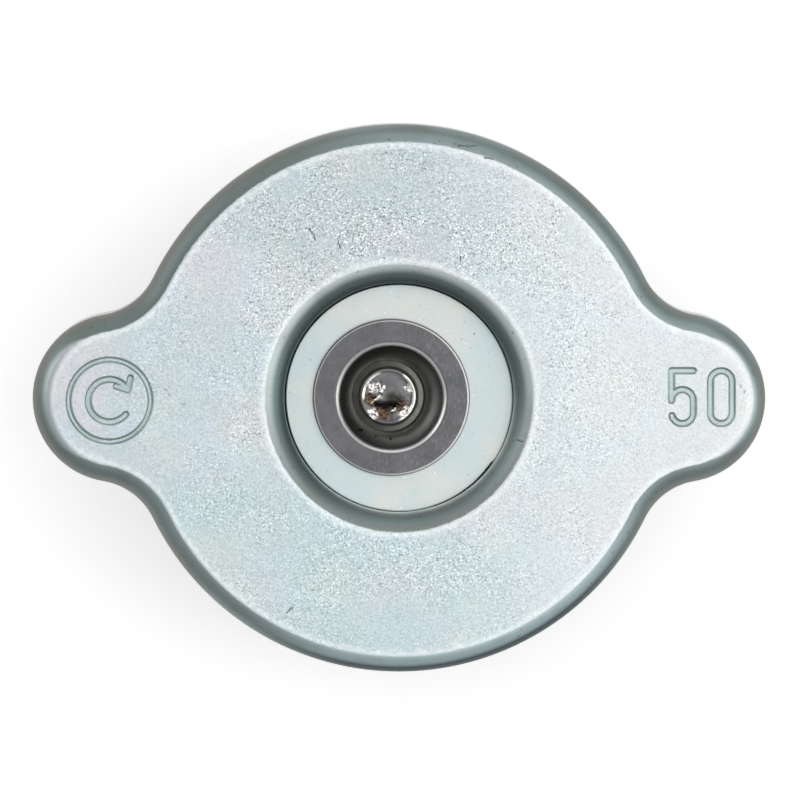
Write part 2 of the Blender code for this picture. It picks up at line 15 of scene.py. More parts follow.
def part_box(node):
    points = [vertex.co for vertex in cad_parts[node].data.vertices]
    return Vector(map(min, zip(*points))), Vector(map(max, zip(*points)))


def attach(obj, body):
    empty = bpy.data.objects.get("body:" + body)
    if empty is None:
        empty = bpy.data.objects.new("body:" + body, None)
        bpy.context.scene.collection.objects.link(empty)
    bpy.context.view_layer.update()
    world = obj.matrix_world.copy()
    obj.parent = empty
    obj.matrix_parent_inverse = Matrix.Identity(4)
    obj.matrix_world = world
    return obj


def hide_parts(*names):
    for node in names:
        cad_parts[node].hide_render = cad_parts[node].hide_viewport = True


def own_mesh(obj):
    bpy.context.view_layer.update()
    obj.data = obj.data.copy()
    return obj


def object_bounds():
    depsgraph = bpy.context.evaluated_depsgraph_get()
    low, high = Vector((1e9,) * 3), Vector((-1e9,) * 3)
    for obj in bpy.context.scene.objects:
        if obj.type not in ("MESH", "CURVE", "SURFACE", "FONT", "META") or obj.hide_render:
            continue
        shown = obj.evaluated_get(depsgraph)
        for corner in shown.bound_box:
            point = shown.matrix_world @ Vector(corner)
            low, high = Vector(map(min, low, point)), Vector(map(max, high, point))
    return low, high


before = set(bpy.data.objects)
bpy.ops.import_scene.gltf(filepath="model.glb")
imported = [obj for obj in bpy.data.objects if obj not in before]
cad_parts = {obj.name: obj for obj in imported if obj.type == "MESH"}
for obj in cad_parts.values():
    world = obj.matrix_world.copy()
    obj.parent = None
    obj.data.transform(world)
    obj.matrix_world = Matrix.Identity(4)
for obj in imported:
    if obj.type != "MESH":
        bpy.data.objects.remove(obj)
CAD_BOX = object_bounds()

MM = 0.001


def height_of(node):
    """A CAD node's lowest and highest level."""
    low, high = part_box(node)
    return low.z, high.z


def radius_of(node):
    low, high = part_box(node)
    return (high.x - low.x) / 2


def middle_of(node):
    low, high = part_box(node)
    return Vector(((low.x + high.x) / 2, (low.y + high.y) / 2, 0.0))


# Shell, from its node and the values of its section
SHELL_AXIS = Vector((0.0, 0.0, 0.0))
LUG_BOTTOM, SHELL_TOP = height_of("cap_shell")
EAR_REACH, BODY_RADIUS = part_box("cap_shell")[1].x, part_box("cap_shell")[1].y
EAR_RADIUS = 7.4 * MM
EAR_FILLET = 5.9 * MM
SHELL_SHEET = 1.0 * MM
EDGE_RADIUS = 1.7 * MM
EDGE_UNEVEN = 0.08  # share by which the bend is wider on one side and narrower on the other
EDGE_WIDEST = math.radians(100)
RECESS_RADIUS = 10.05 * MM
RECESS_RIM = 2.4 * MM
RECESS_CORNER = 0.4 * MM
LUG_WIDTH = 16.5 * MM
LUG_GRIP = 3.8 * MM
LUG_BEND = 0.6 * MM
LUG_CORNER = 2.0 * MM
SKIRT_EDGE = LUG_BOTTOM + LUG_BEND + SHELL_SHEET
REST_GAP = 0.05 * MM

# Swivel
WASHER_BOTTOM, WASHER_TOP = height_of("recess_washer")
WASHER_RADIUS = radius_of("recess_washer")
WASHER_SLIP = Vector((0.01, -0.03, 0.0)) * MM  # the washer lies a little out of the middle
FLOOR_TOP = WASHER_BOTTOM - REST_GAP
VALVE_AXIS = middle_of("swivel_bush")
SWIVEL_HOLE = 5.85 * MM
BUSH_SHEET = 0.7 * MM
BUSH_BOTTOM, BUSH_TOP = height_of("swivel_bush")
BUSH_FLOOR = BUSH_BOTTOM + BUSH_SHEET
BUSH_FLANGE_RADIUS = radius_of("swivel_bush")
BUSH_BARREL_RADIUS = 5.05 * MM
BUSH_LIP = 0.5 * MM
BUSH_FOOT = 0.8 * MM
DISH_MOUTH = 0.15 * MM  # how much wider the dish is at its mouth than the barrel's bore
DISH_STEPS = 12
DISH_RING_RADIUS = 3.15 * MM  # a low ring that the closing tool pushed up round the rivet's head
DISH_RING_HEIGHT = 0.16 * MM
BUSH_EDGE = 0.1 * MM
CLOSING_SLIP = Vector((-0.28, 0.08, 0.0)) * MM  # how far the closing tool pushed the rivet's head
RIVET_BOTTOM, RIVET_TOP = height_of("rivet")
RIVET_SHANK = 1.75 * MM
RIVET_HOLE = 1.87 * MM
RIVET_HEAD_RADIUS = 2.5 * MM
RIVET_HEAD_ROUNDING = 0.6 * MM
RIVET_TAIL_RADIUS = radius_of("rivet")
RIVET_TAIL_HEIGHT = 1.2 * MM
FRICTION_SHEET = 0.3 * MM
FRICTION_BORE = 5.17 * MM

# Upper seal
DIAPHRAGM_SHEET = 0.3 * MM
DIAPHRAGM_SLOPE = 1.8 * MM
DIAPHRAGM_TOP = height_of("diaphragm")[1]
DIAPHRAGM_RIM_TOP = height_of("diaphragm")[0] + DIAPHRAGM_SHEET
UPPER_GASKET_GAP = 0.3 * MM

# Bell and springs
BELL_BOTTOM, BELL_TOP = height_of("bell_housing")
BELL_RADIUS = radius_of("bell_housing")
BELL_SHEET = 0.6 * MM
BELL_CORNER = 1.2 * MM
BELL_WINDOW_WIDTH = 6.2 * MM
BELL_WINDOW_HEIGHT = 6.0 * MM
BELL_WINDOW_CORNER = 1.5 * MM
BELL_NOTCH_HEIGHT = 2.6 * MM
BELL_CEILING = BELL_TOP - BELL_SHEET
MAIN_WIRE = 1.5 * MM
MAIN_TURNS = 4.5
MAIN_SPRING_RADIUS = 9.65 * MM
VACUUM_WIRE = 0.4 * MM
VACUUM_TURNS = 4.0
VACUUM_SPRING_RADIUS = 3.1 * MM
CLOSED_TURN_PITCH = 1.12  # rise of a closed end turn, in wire diameters

# Pressure valve
SEAT_SHEET = 0.6 * MM
SEAT_BOTTOM, SEAT_TOP = height_of("spring_seat")
SEAT_RADIUS = 8.4 * MM
SEAT_BEND = 0.5 * MM
TAB_RADIUS = 8.8 * MM
VALVE_SHEET = 0.6 * MM
PLATE_BOTTOM, HUB_TOP = height_of("valve_plate")
VALVE_RADIUS = radius_of("valve_plate")
HUB_BORE = 2.2 * MM
HUB_BEND = 0.4 * MM
HUB_FLARE_RADIUS = 3.8 * MM
LAND_BOTTOM, LIP_TOP = height_of("pressure_gasket")
GASKET_RADIUS = radius_of("pressure_gasket")
GASKET_LIP_THICKNESS = 0.65 * MM
GASKET_LIP_WIDTH = 2.2 * MM
GASKET_PORT = 4.2 * MM
GASKET_ROUNDING = 0.6 * MM
LAND_RADIUS = 12.5 * MM
LAND_WIDTH = 0.9 * MM
LAND_HEIGHT = 1.0 * MM
LAND_FLARE = 0.5 * MM

# Vacuum valve
STEM_RADIUS = 1.3 * MM
STEM_HOLE = STEM_RADIUS + REST_GAP
STEM_HEAD_HEIGHT = 0.35 * MM

# Stamped marks on the ears
MARK_DEPTH = 0.2 * MM
MARK_WALL = 0.17 * MM  # how wide a groove's sloping side is
MARK_UNEVEN = 0.35  # share by which the depth varies
MARK_STROKE = 0.64 * MM
RING_STROKE = 0.55 * MM
RING_RADIUS = 3.59 * MM
RING_PLACE = (-25.35 * MM, -0.2 * MM)
NUMBER_PLACE = (26.5 * MM, 0.1 * MM)
DIGIT_HEIGHT = 4.64 * MM  # along the middle of its strokes
DIGIT_WIDTH = 1.9 * MM
DIGIT_SPACING = 1.5 * MM
MARK_CELL = 0.06 * MM
TOP_CELL = 0.7 * MM
TOP_WAVE = 0.006 * MM  # how far the flat top is from flat

# Wear, each line as the x and y of its middle, its length, in millimetres, and its turn in degrees
ZINC_SCRATCHES = [
    (6.0, 22.1, 1.6, -2),
    (7.8, 21.0, 0.8, -12),
    (-9.6, -18.5, 0.9, 40),
    (5.4, 12.2, 0.5, 88),
    (-7.6, 14.4, 1.1, -62),
    (-5.2, 13.5, 0.7, -70),
    (10.6, -3.7, 0.6, -8),
]
ZINC_PITS = [
    (-20.4, 0.7, 0.10, 20),
    (-20.2, 0.3, 0.05, 0),
    (-18.9, -0.5, 0.40, 6),
    (4.9, 22.3, 0.12, 0),
    (29.9, 1.1, 0.10, 70),
    (30.2, 0.6, 0.15, 110),
]
DISH_SPECKS = [(-1.35, -3.45, 0.10, 0), (-0.05, -3.65, 0.12, 70), (-2.7, -2.9, 0.30, -20)]
RIVET_RUST = [(-1.5, -0.3, 0.7, -60), (-0.55, -1.45, 0.9, -20), (1.2, -0.9, 0.5, -40)]
RIVET_BRIGHT = [
    (-1.15, 0.75, 0.8, 12),
    (-1.3, -1.5, 0.6, -55),
    (1.5, -1.4, 0.9, 48),
    (1.85, 0.7, 0.5, -60),
]
RIVET_LIPS = [(-0.5, 0.62, 0.55, 66), (-1.05, -0.3, 0.95, 42), (0.55, -1.15, 0.35, 60)]
RIVET_CREASE = [(-0.75, -0.78, 0.9, -6), (0.25, -0.8, 0.8, 4), (-0.2, -0.95, 0.5, 0)]
RIM_DISTANCE = "rim_distance"  # how far a point of the flat top is from its rim, kept in the mesh

# Facets
STEPS_ROUND = 144
STEPS_BEND = 8
HOLD = 0.04 * MM  # extra rings beside a bend keep the flats beside it evenly shaded
STEPS_EAR = 26
STEPS_FILLET = 14
STEPS_BODY = 24
STEPS_LUG = 12
STEPS_TURN = 72.0
STEPS_WIRE = 20

# Photograph's frame
PIXEL = 0.08762 * MM  # one pixel at the foot of the rounded edge, which makes the outline
FRAME_PIXELS = 800
CAMERA_DISTANCE = 1.5
CAMERA_TILT = math.radians(1.5)
SENSOR = 36.0
AIM = Vector((1.0, -1.6)) * PIXEL  # where the photograph's middle lies from the shell's axis

# Studio
FLOOR_SIZE = 8.0
FLOOR_LIFT = 0.43  # light of its own that brings the lit floor to white
STUDIO_GREY = 0.42
SOFTBOXES = [  # name, place, width, height and radiance
    ("softbox_above", (0.26, 0.05, 0.9), 0.8, 0.9, 1.2),
    ("softbox_left", (-0.95, 0.45, 0.62), 0.7, 0.9, 1.5),
    ("softbox_right", (1.0, -0.1, 0.55), 0.6, 0.9, 1.4),
    ("softbox_back", (0.05, 1.05, 0.6), 0.9, 0.7, 1.0),
]


def linear(hex_colour):
    """An sRGB hex colour as linear RGBA."""
    parts = [int(hex_colour[i : i + 2], 16) / 255 for i in (0, 2, 4)]
    return (*[p / 12.92 if p <= 0.04045 else ((p + 0.055) / 1.055) ** 2.4 for p in parts], 1.0)


def add(tree, kind, inputs=None, **settings):
    """Adds a node with its settings. An input is given by name or number, as a value or a socket."""
    made = tree.nodes.new(kind)
    for name, value in settings.items():
        setattr(made, name, value)
    for key, value in (inputs or {}).items():
        if isinstance(value, bpy.types.NodeSocket):
            tree.links.new(value, made.inputs[key])
        else:
            made.inputs[key].default_value = value
    return made


def combine(tree, operation, *numbers):
    """Several numbers taken together by one operation, from the left."""
    total, *others = numbers
    for number in others:
        total = add(tree, "ShaderNodeMath", {0: total, 1: number}, operation=operation).outputs[0]
    return total


class Finish:
    """A metal or rubber finish being put together: its shader, and patterns measured in millimetres."""

    def __init__(self, name, metallic, roughness, centre=SHELL_AXIS):
        self.material = bpy.data.materials.new(name)
        self.material.use_nodes = True
        self.tree = self.material.node_tree
        self.shader = self.tree.nodes["Principled BSDF"]
        self.shader.inputs["Metallic"].default_value = metallic
        self.shader.inputs["Roughness"].default_value = roughness
        place = add(self.tree, "ShaderNodeTexCoord").outputs["Object"]
        centred = self.node("ShaderNodeVectorMath", {0: place, 1: centre}, operation="SUBTRACT")
        self.mm = self.node("ShaderNodeVectorMath", {0: centred, "Scale": 1 / MM}, operation="SCALE")
        split = add(self.tree, "ShaderNodeSeparateXYZ", {0: self.mm})
        self.x, self.y, self.z = split.outputs
        self.radius = self.radius_about((0.0, 0.0, 0.0))

    def node(self, kind, inputs=None, **settings):
        """Adds a node and gives its first output."""
        return add(self.tree, kind, inputs, **settings).outputs[0]

    def radius_about(self, middle):
        """How far the place is from the vertical line through middle, in millimetres."""
        away = self.node("ShaderNodeVectorMath", {0: self.mm, 1: middle}, operation="SUBTRACT")
        flat = self.node("ShaderNodeVectorMath", {0: away, 1: (1, 1, 0)}, operation="MULTIPLY")
        return add(self.tree, "ShaderNodeVectorMath", {0: flat}, operation="LENGTH").outputs["Value"]

    def combine(self, operation, *numbers):
        return combine(self.tree, operation, *numbers)

    def grain(self, size, detail=2.0, roughness=0.5, stretch=(1, 1, 1), shift=0.0):
        """Noise whose features measure about size, in millimetres."""
        placed = {0: self.mm, 1: stretch, 2: (shift, shift, shift)}
        vector = self.node("ShaderNodeVectorMath", placed, operation="MULTIPLY_ADD")
        inputs = {"Vector": vector, "Scale": 1 / size, "Detail": detail, "Roughness": roughness}
        return self.node("ShaderNodeTexNoise", inputs)

    def step(self, value, start, end, low=0.0, high=1.0):
        """Goes smoothly from low to high as value goes from start to end."""
        inputs = {"Value": value, "From Min": start, "From Max": end, "To Min": low, "To Max": high}
        return self.node("ShaderNodeMapRange", inputs, interpolation_type="SMOOTHSTEP")

    def band(self, value, middle, half_width, soft):
        """1 where value is within half_width of middle, falling to 0 over soft."""
        away = self.combine("SUBTRACT", value, middle)
        away = self.node("ShaderNodeMath", {0: away}, operation="ABSOLUTE")
        return self.step(away, half_width, half_width + soft, 1.0, 0.0)

    def warped(self, size, reach):
        """The place, pushed about by up to reach so that patches get ragged outlines."""
        push = add(self.tree, "ShaderNodeTexNoise", {"Vector": self.mm, "Scale": 1 / size})
        inputs = {0: push.outputs["Color"], 1: (0.5, 0.5, 0.5)}
        centred = self.node("ShaderNodeVectorMath", inputs, operation="SUBTRACT")
        inputs = {0: centred, 1: (4 * reach, 4 * reach, 0.0), 2: self.mm}
        return self.node("ShaderNodeVectorMath", inputs, operation="MULTIPLY_ADD")

    def stroke(self, place, x, y, length, turn, half_width, soft):
        """1 along a straight stroke whose middle is at (x, y), turned by so many degrees from +X."""
        inputs = {"Vector": place, "Location": (x, y, 0.0), "Rotation": (0.0, 0.0, math.radians(turn))}
        local = self.node("ShaderNodeMapping", inputs, vector_type="TEXTURE")
        along, across, _ = add(self.tree, "ShaderNodeSeparateXYZ", {0: local}).outputs
        lengthways = self.band(along, 0.0, length / 2, soft)
        return self.combine("MULTIPLY", lengthways, self.band(across, 0.0, half_width, soft))

    def strokes(self, place, lines, half_width, soft):
        """Several strokes together, each given as (x, y, length, turn)."""
        every = [self.stroke(place, *line, half_width, soft) for line in lines]
        return self.combine("MAXIMUM", *every)

    def toward(self, degrees, start=-1.0, end=1.0, low=0.0, high=1.0):
        """Goes from low to high as the direction from the centre turns to so many degrees from +X."""
        turn = math.radians(degrees)
        across = self.combine("MULTIPLY", self.x, math.cos(turn))
        along = self.combine("ADD", across, self.combine("MULTIPLY", self.y, math.sin(turn)))
        return self.step(self.combine("DIVIDE", along, self.radius), start, end, low, high)

    def mix(self, factor, first, second):
        """A mix of two colours, each a hex value or a socket."""
        first, second = [linear(c) if isinstance(c, str) else c for c in (first, second)]
        inputs = {0: factor, 6: first, 7: second}
        return add(self.tree, "ShaderNodeMix", inputs, data_type="RGBA").outputs[2]

    def layered(self, colour, layers):
        """A colour with others laid over it in turn, each given as (how much of it covers, colour)."""
        for cover, over in layers:
            colour = self.mix(cover, colour, over)
        return colour

    def blend(self, factor, first, second):
        """A mix of two numbers."""
        inputs = {0: factor, 2: first, 3: second}
        return add(self.tree, "ShaderNodeMix", inputs, data_type="FLOAT").outputs[0]

    def done(self, colour=None, roughness=None, height=None, relief=0.01):
        """Links what was made to the shader. Relief is the height of the bumps, in millimetres."""
        if isinstance(colour, str):
            self.shader.inputs["Base Color"].default_value = linear(colour)
        elif colour is not None:
            self.tree.links.new(colour, self.shader.inputs["Base Color"])
        if roughness is not None:
            self.tree.links.new(roughness, self.shader.inputs["Roughness"])
        if height is not None:
            normal = self.node("ShaderNodeBump", {"Distance": relief * MM, "Height": height})
            self.tree.links.new(normal, self.shader.inputs["Normal"])
        return self.material


def clouds_and_painted_light(zinc):
    """The passivation's faint pink, straw and blue clouds, a little darker towards +Y, with painted
    light that makes them paler towards the ear at +X.
    """
    layers = [
        (zinc.step(zinc.grain(8.0, 1.0), 0.40, 0.64), "C5C7CC"),
        (zinc.step(zinc.grain(6.0, 1.0, shift=31.0), 0.50, 0.72, 0.0, 0.6), "CACFC8"),
        (zinc.step(zinc.grain(5.0, 1.5, shift=57.0), 0.48, 0.70, 0.0, 0.6), "BACBD2"),
        (zinc.toward(250, 0.3, 0.9, 0.0, 0.35), "A9C3C6"),
        (zinc.toward(95, 0.6, 0.98, 0.0, 0.3), "A3AFB1"),
        # painted light: paler towards +X, where the top is more brightly lit
        (zinc.step(zinc.x, 0.0, 20.0, 0.0, 0.55), "D6DADA"),
    ]
    return zinc.layered("BBC6C9", layers)


def sparkling_top(zinc, fine, out, burnish_and_highlight, grooved):
    """The tumbled top: clouds under bright and dark grains, the white ones partly painted sparkle, its
    rims white with burnish and a painted highlight, and its grooves dull.
    """
    strength = zinc.combine(
        "MULTIPLY",
        zinc.step(zinc.grain(4.5, 2.0, shift=71.0), 0.36, 0.62, 0.3, 1.0),
        zinc.step(zinc.y, 9.0, 17.0, 0.85, 1.3),
        zinc.step(out, 18.0, 26.0, 1.0, 0.5),
        zinc.step(zinc.radius, 13.0, 21.0, 1.3, 0.8),
    )
    pepper = zinc.step(zinc.grain(0.2, 0.0, shift=83.0), 0.70, 0.78, 0.0, 0.8)
    layers = [
        # painted sparkle: white grains standing in for glints off the tumbled grain, over the grain's
        # own tone
        (zinc.combine("MULTIPLY", zinc.step(fine, 0.55, 0.70, 0.0, 0.6), strength), "F4F6F6"),
        (zinc.combine("MULTIPLY", zinc.step(fine, 0.43, 0.30, 0.0, 0.7), strength), "7F8887"),
        (zinc.combine("MULTIPLY", pepper, zinc.step(zinc.y, -6.0, 12.0, 0.4, 1.0), strength), "56616A"),
        # burnish on the rims together with a painted highlight where the top turns into its bends
        (burnish_and_highlight, "E4EAEB"),
        (grooved, "A8BABA"),
    ]
    return zinc.layered(clouds_and_painted_light(zinc), layers)


def recess_wall_in_painted_light(zinc, drop):
    """The recess's wall, in painted light and shade: a painted highlight at its mouth, painted shade
    darkest at +Y and -X, and painted light that keeps it of one tone at -Y.
    """
    painted_light_side = zinc.toward(270, -0.5, 0.8)
    lit_side = zinc.mix(painted_light_side, "B9C6C3", "F4FAF8")
    layers = [
        # painted shade: darker going down from the mouth
        (zinc.step(drop, 0.06, 0.36), "7D8D8B"),
        # painted shade deep in the wall, darkest towards +Y and -X, and painted light towards -Y
        (zinc.step(drop, 0.3, 2.0), zinc.mix(zinc.toward(125, -0.9, 0.5), lit_side, "4A5E5F")),
    ]
    # at the mouth a painted highlight, less of it towards -Y
    return zinc.layered(zinc.mix(painted_light_side, "C6D1CF", "89918F"), layers)


def edge_in_painted_shade(zinc, drop):
    """The bend round the top, in painted shade: grey-green and darker going down and towards the upper
    left, brown in random clouds and in a painted brownish reflection at the upper left, with a painted
    highlight above painted shade at -Y.
    """
    # brown in random clouds, and towards the upper left a painted brownish reflection
    brown_and_reflection = zinc.step(zinc.grain(7.0, 1.0), 0.44, 0.66)
    brown_and_reflection = zinc.combine("MAXIMUM", zinc.toward(165, 0.4, 0.9), brown_and_reflection)
    layers = [
        # painted shade: darker going down the bend
        (zinc.step(drop, 0.05, 0.5), "7F8C8A"),
        # painted shade: darker towards the upper left
        (zinc.toward(145, 0.5, 1.0), zinc.mix(zinc.step(drop, 0.0, 0.9), "74827F", "7F8481")),
        (zinc.combine("MULTIPLY", zinc.step(drop, 0.3, 0.9, 0.0, 0.65), brown_and_reflection), "74716A"),
        # painted highlight above painted shade towards -Y
        (zinc.toward(285, 0.6, 0.96), zinc.mix(zinc.step(drop, 0.17, 0.6), "BCCFD3", "4C5759")),
    ]
    # the bend's grey-green, kept darker than the flat top, is painted shade for the dark surroundings
    # that it mirrors
    return zinc.layered("95A3A4", layers)


def tumbled_zinc():
    """Zinc-plated steel with a clear blue passivation. The flat top is tumbled to a bright sparkling
    grain with faint blue, pink and straw clouds and a dark peppering, which is stronger towards +Y.
    Bends and grooves stay smooth, matt and grey-green. The white grains are partly painted sparkle, the
    rims carry a painted highlight with the burnish, the bend is darkened as painted shade, and the
    recess's wall holds painted light and shade."""
    zinc = Finish("tumbled_zinc_plate", 1.0, 0.4)
    fine = zinc.grain(0.17, 1.5, 0.6)
    wander = zinc.combine("SUBTRACT", zinc.grain(0.45, 2), 0.5)
    drop = zinc.combine("SUBTRACT", SHELL_TOP / MM, zinc.z)
    out = zinc.node("ShaderNodeMath", {0: zinc.x}, operation="ABSOLUTE")
    normal = add(zinc.tree, "ShaderNodeNewGeometry").outputs["Normal"]
    upward = add(zinc.tree, "ShaderNodeSeparateXYZ", {0: normal}).outputs[2]
    from_rim = add(zinc.tree, "ShaderNodeAttribute", attribute_name=RIM_DISTANCE).outputs["Fac"]
    from_rim = zinc.combine("MULTIPLY", from_rim, 1 / MM)
    ear_tips = zinc.step(from_rim, 0.3, 1.2, 1.0, 0.0)
    ear_tips = zinc.combine("MULTIPLY", zinc.step(out, 27.0, 31.0), ear_tips)

    flatness = zinc.combine("ADD", upward, zinc.combine("MULTIPLY", wander, 0.012))
    face = zinc.step(flatness, zinc.blend(ear_tips, 0.984, 0.80), 0.997)
    face = zinc.combine("MULTIPLY", face, zinc.step(drop, 0.5, 0.8, 1.0, 0.0))
    ragged_rim = zinc.combine(
        "ADD",
        from_rim,
        zinc.combine("MULTIPLY", wander, 1.2),
        zinc.combine("MULTIPLY", zinc.combine("SUBTRACT", fine, 0.5), 0.9),
    )
    # burnish and a painted highlight along the top's rims, ragged, and weaker at the ear tips
    burnish_and_highlight = zinc.step(ragged_rim, 0.0, 0.36, 0.5, 0.0)
    burnish_and_highlight = zinc.combine("MULTIPLY", burnish_and_highlight, zinc.step(ear_tips, 0.0, 1.0, 1.0, 0.3))
    grooved = zinc.step(drop, 0.08, 0.16, 0.0, 0.85)
    lower = zinc.combine("MAXIMUM", zinc.step(drop, 1.3, 2.2), zinc.step(upward, -0.2, -0.6))
    ragged = zinc.warped(0.5, 0.12)
    scratches = zinc.combine("MULTIPLY", zinc.strokes(ragged, ZINC_SCRATCHES, 0.03, 0.06), 0.75)
    pits = zinc.combine("MULTIPLY", zinc.strokes(ragged, ZINC_PITS, 0.08, 0.1), 0.4)
    marks = zinc.combine("MAXIMUM", scratches, pits)
    layers = [
        (lower, zinc.mix(zinc.step(fine, 0.35, 0.65, 0.0, 0.35), "A8AEAD", "C4C9C8")),
        (zinc.step(zinc.radius, 12.3, 12.8, 1.0, 0.0), recess_wall_in_painted_light(zinc, drop)),
        (zinc.step(from_rim, 0.2, 0.4), "B4C0BF"),
        (zinc.step(zinc.grain(3.2, 2, shift=13.0), 0.50, 0.75, 0.0, 0.18), "6A6F6C"),
        (zinc.step(zinc.grain(0.35, 2, shift=21.0), 0.66, 0.74, 0.0, 0.5), "4A504E"),
        (face, sparkling_top(zinc, fine, out, burnish_and_highlight, grooved)),
        (marks, "50514E"),
    ]
    colour = zinc.layered(edge_in_painted_shade(zinc, drop), layers)

    peel = zinc.grain(0.38, 2.0, 0.6, shift=5.0)
    height = zinc.combine("MULTIPLY", zinc.combine("ADD", peel, fine), face)
    height = zinc.combine("SUBTRACT", height, zinc.combine("MULTIPLY", marks, 1.5))
    bend_roughness = zinc.blend(lower, 0.50, zinc.step(fine, 0.3, 0.7, 0.36, 0.30))
    roughness = zinc.blend(face, bend_roughness, zinc.step(fine, 0.3, 0.7, 0.42, 0.30))
    return zinc.done(colour, roughness, height, 0.008)


def barrel_zinc():
    """Zinc-plated washer, barrel plated: even, pale and satin, with a few tiny dark specks and a painted
    shadow round the bush's flange.
    """
    zinc = Finish("barrel_zinc_plate", 1.0, 0.42, VALVE_AXIS)
    fine = zinc.grain(0.12, 2, 0.6)
    flange_shadow_edge = BUSH_FLANGE_RADIUS / MM
    layers = [
        (zinc.step(zinc.grain(5.0, 2), 0.35, 0.7), "D0D4D0"),
        (zinc.step(fine, 0.60, 0.75, 0.0, 0.4), "E9EEED"),
        (zinc.step(zinc.grain(0.3, 1, shift=9.0), 0.73, 0.78, 0.0, 0.5), "6F7674"),
        (zinc.step(zinc.grain(0.3, 1, shift=44.0), 0.71, 0.77, 0.0, 0.5), "FFFFFF"),
        # painted shadow: a dark ring where the bush's flange lies on the washer
        (zinc.step(zinc.radius, flange_shadow_edge, flange_shadow_edge + 0.12, 0.85, 0.0), "2E3332"),
    ]
    return zinc.done(zinc.layered("C4D1D2", layers), None, fine, 0.004)


def dish_in_painted_light(steel):
    """The bush's dish: dark on its floor, its wall in painted light that is brighter towards the lower
    right, and on the ring that the closing tool left a painted highlight with a painted shadow just
    outside it, both towards +X.
    """
    around = steel.radius_about(CLOSING_SLIP / MM)
    ring_highlight = steel.band(around, 2.9, 0.12, 0.12)
    ring = steel.band(around, 3.2, 0.04, 0.1)
    specks = steel.strokes(steel.warped(0.3, 0.05), DISH_SPECKS, 0.07, 0.08)
    # painted light: the wall lighter towards the lower right, against the shade of the hollow
    wall = steel.mix(steel.toward(-25, -0.6, 0.9), "8A8A86", "C6C6C4")
    layers = [
        (steel.step(steel.grain(1.0, 3, shift=8.0), 0.4, 0.62), "53524D"),
        (steel.step(steel.radius, 3.4, 4.3), wall),
        # painted highlight on the ring, towards +X
        (steel.combine("MULTIPLY", ring_highlight, steel.toward(-10, -0.6, 0.9, 0.0, 0.5)), "8E8E86"),
        # painted shadow just outside the ring, towards +X
        (steel.combine("MULTIPLY", ring, steel.toward(-20, -0.2, 0.7, 0.0, 0.85)), "1F1F1C"),
        (steel.combine("MULTIPLY", specks, 0.85), "1C1C1A"),
    ]
    return steel.layered("494944", layers)


def phosphated_steel():
    """Dark phosphated bush: purple-grey and satin, with short tool marks, a bright edge on its flange
    that is brighter towards +X, and a painted highlight round the lip of its dish.
    """
    steel = Finish("phosphated_steel", 1.0, 0.4, VALVE_AXIS)
    marks = steel.grain(0.15, 2, 0.6, stretch=(1.0, 0.25, 1.0))
    scraped = steel.combine(
        "MULTIPLY", steel.step(marks, 0.54, 0.74, 0.0, 0.5), steel.toward(-20, -1.0, 0.8)
    )
    # painted highlight: a bright ring round the lip of the dish
    lip = steel.band(steel.radius, 4.68, 0.09, 0.14)
    lip = steel.combine("MULTIPLY", lip, steel.toward(190, -0.8, 0.9, 1.0, 0.75))
    rim = BUSH_FLANGE_RADIUS / MM
    edge = steel.step(steel.radius, rim - 0.2, rim - 0.12)
    edge = steel.combine("MULTIPLY", edge, steel.toward(0, -0.4, 0.9, 0.35, 0.8))
    layers = [
        (steel.step(steel.grain(1.8, 2, shift=3.0), 0.35, 0.65), "6D6C70"),
        (scraped, "929194"),
        (steel.step(marks, 0.42, 0.25, 0.0, 0.22), "4A484D"),
        (steel.step(steel.radius, 4.35, 4.62, 1.0, 0.0), dish_in_painted_light(steel)),
        # the lip's painted highlight and the flange's bright edge
        (steel.combine("MAXIMUM", lip, edge), "EAE9E8"),
    ]
    colour = steel.layered("646566", layers)
    return steel.done(colour, steel.step(marks, 0.3, 0.7, 0.46, 0.36), marks, 0.004)


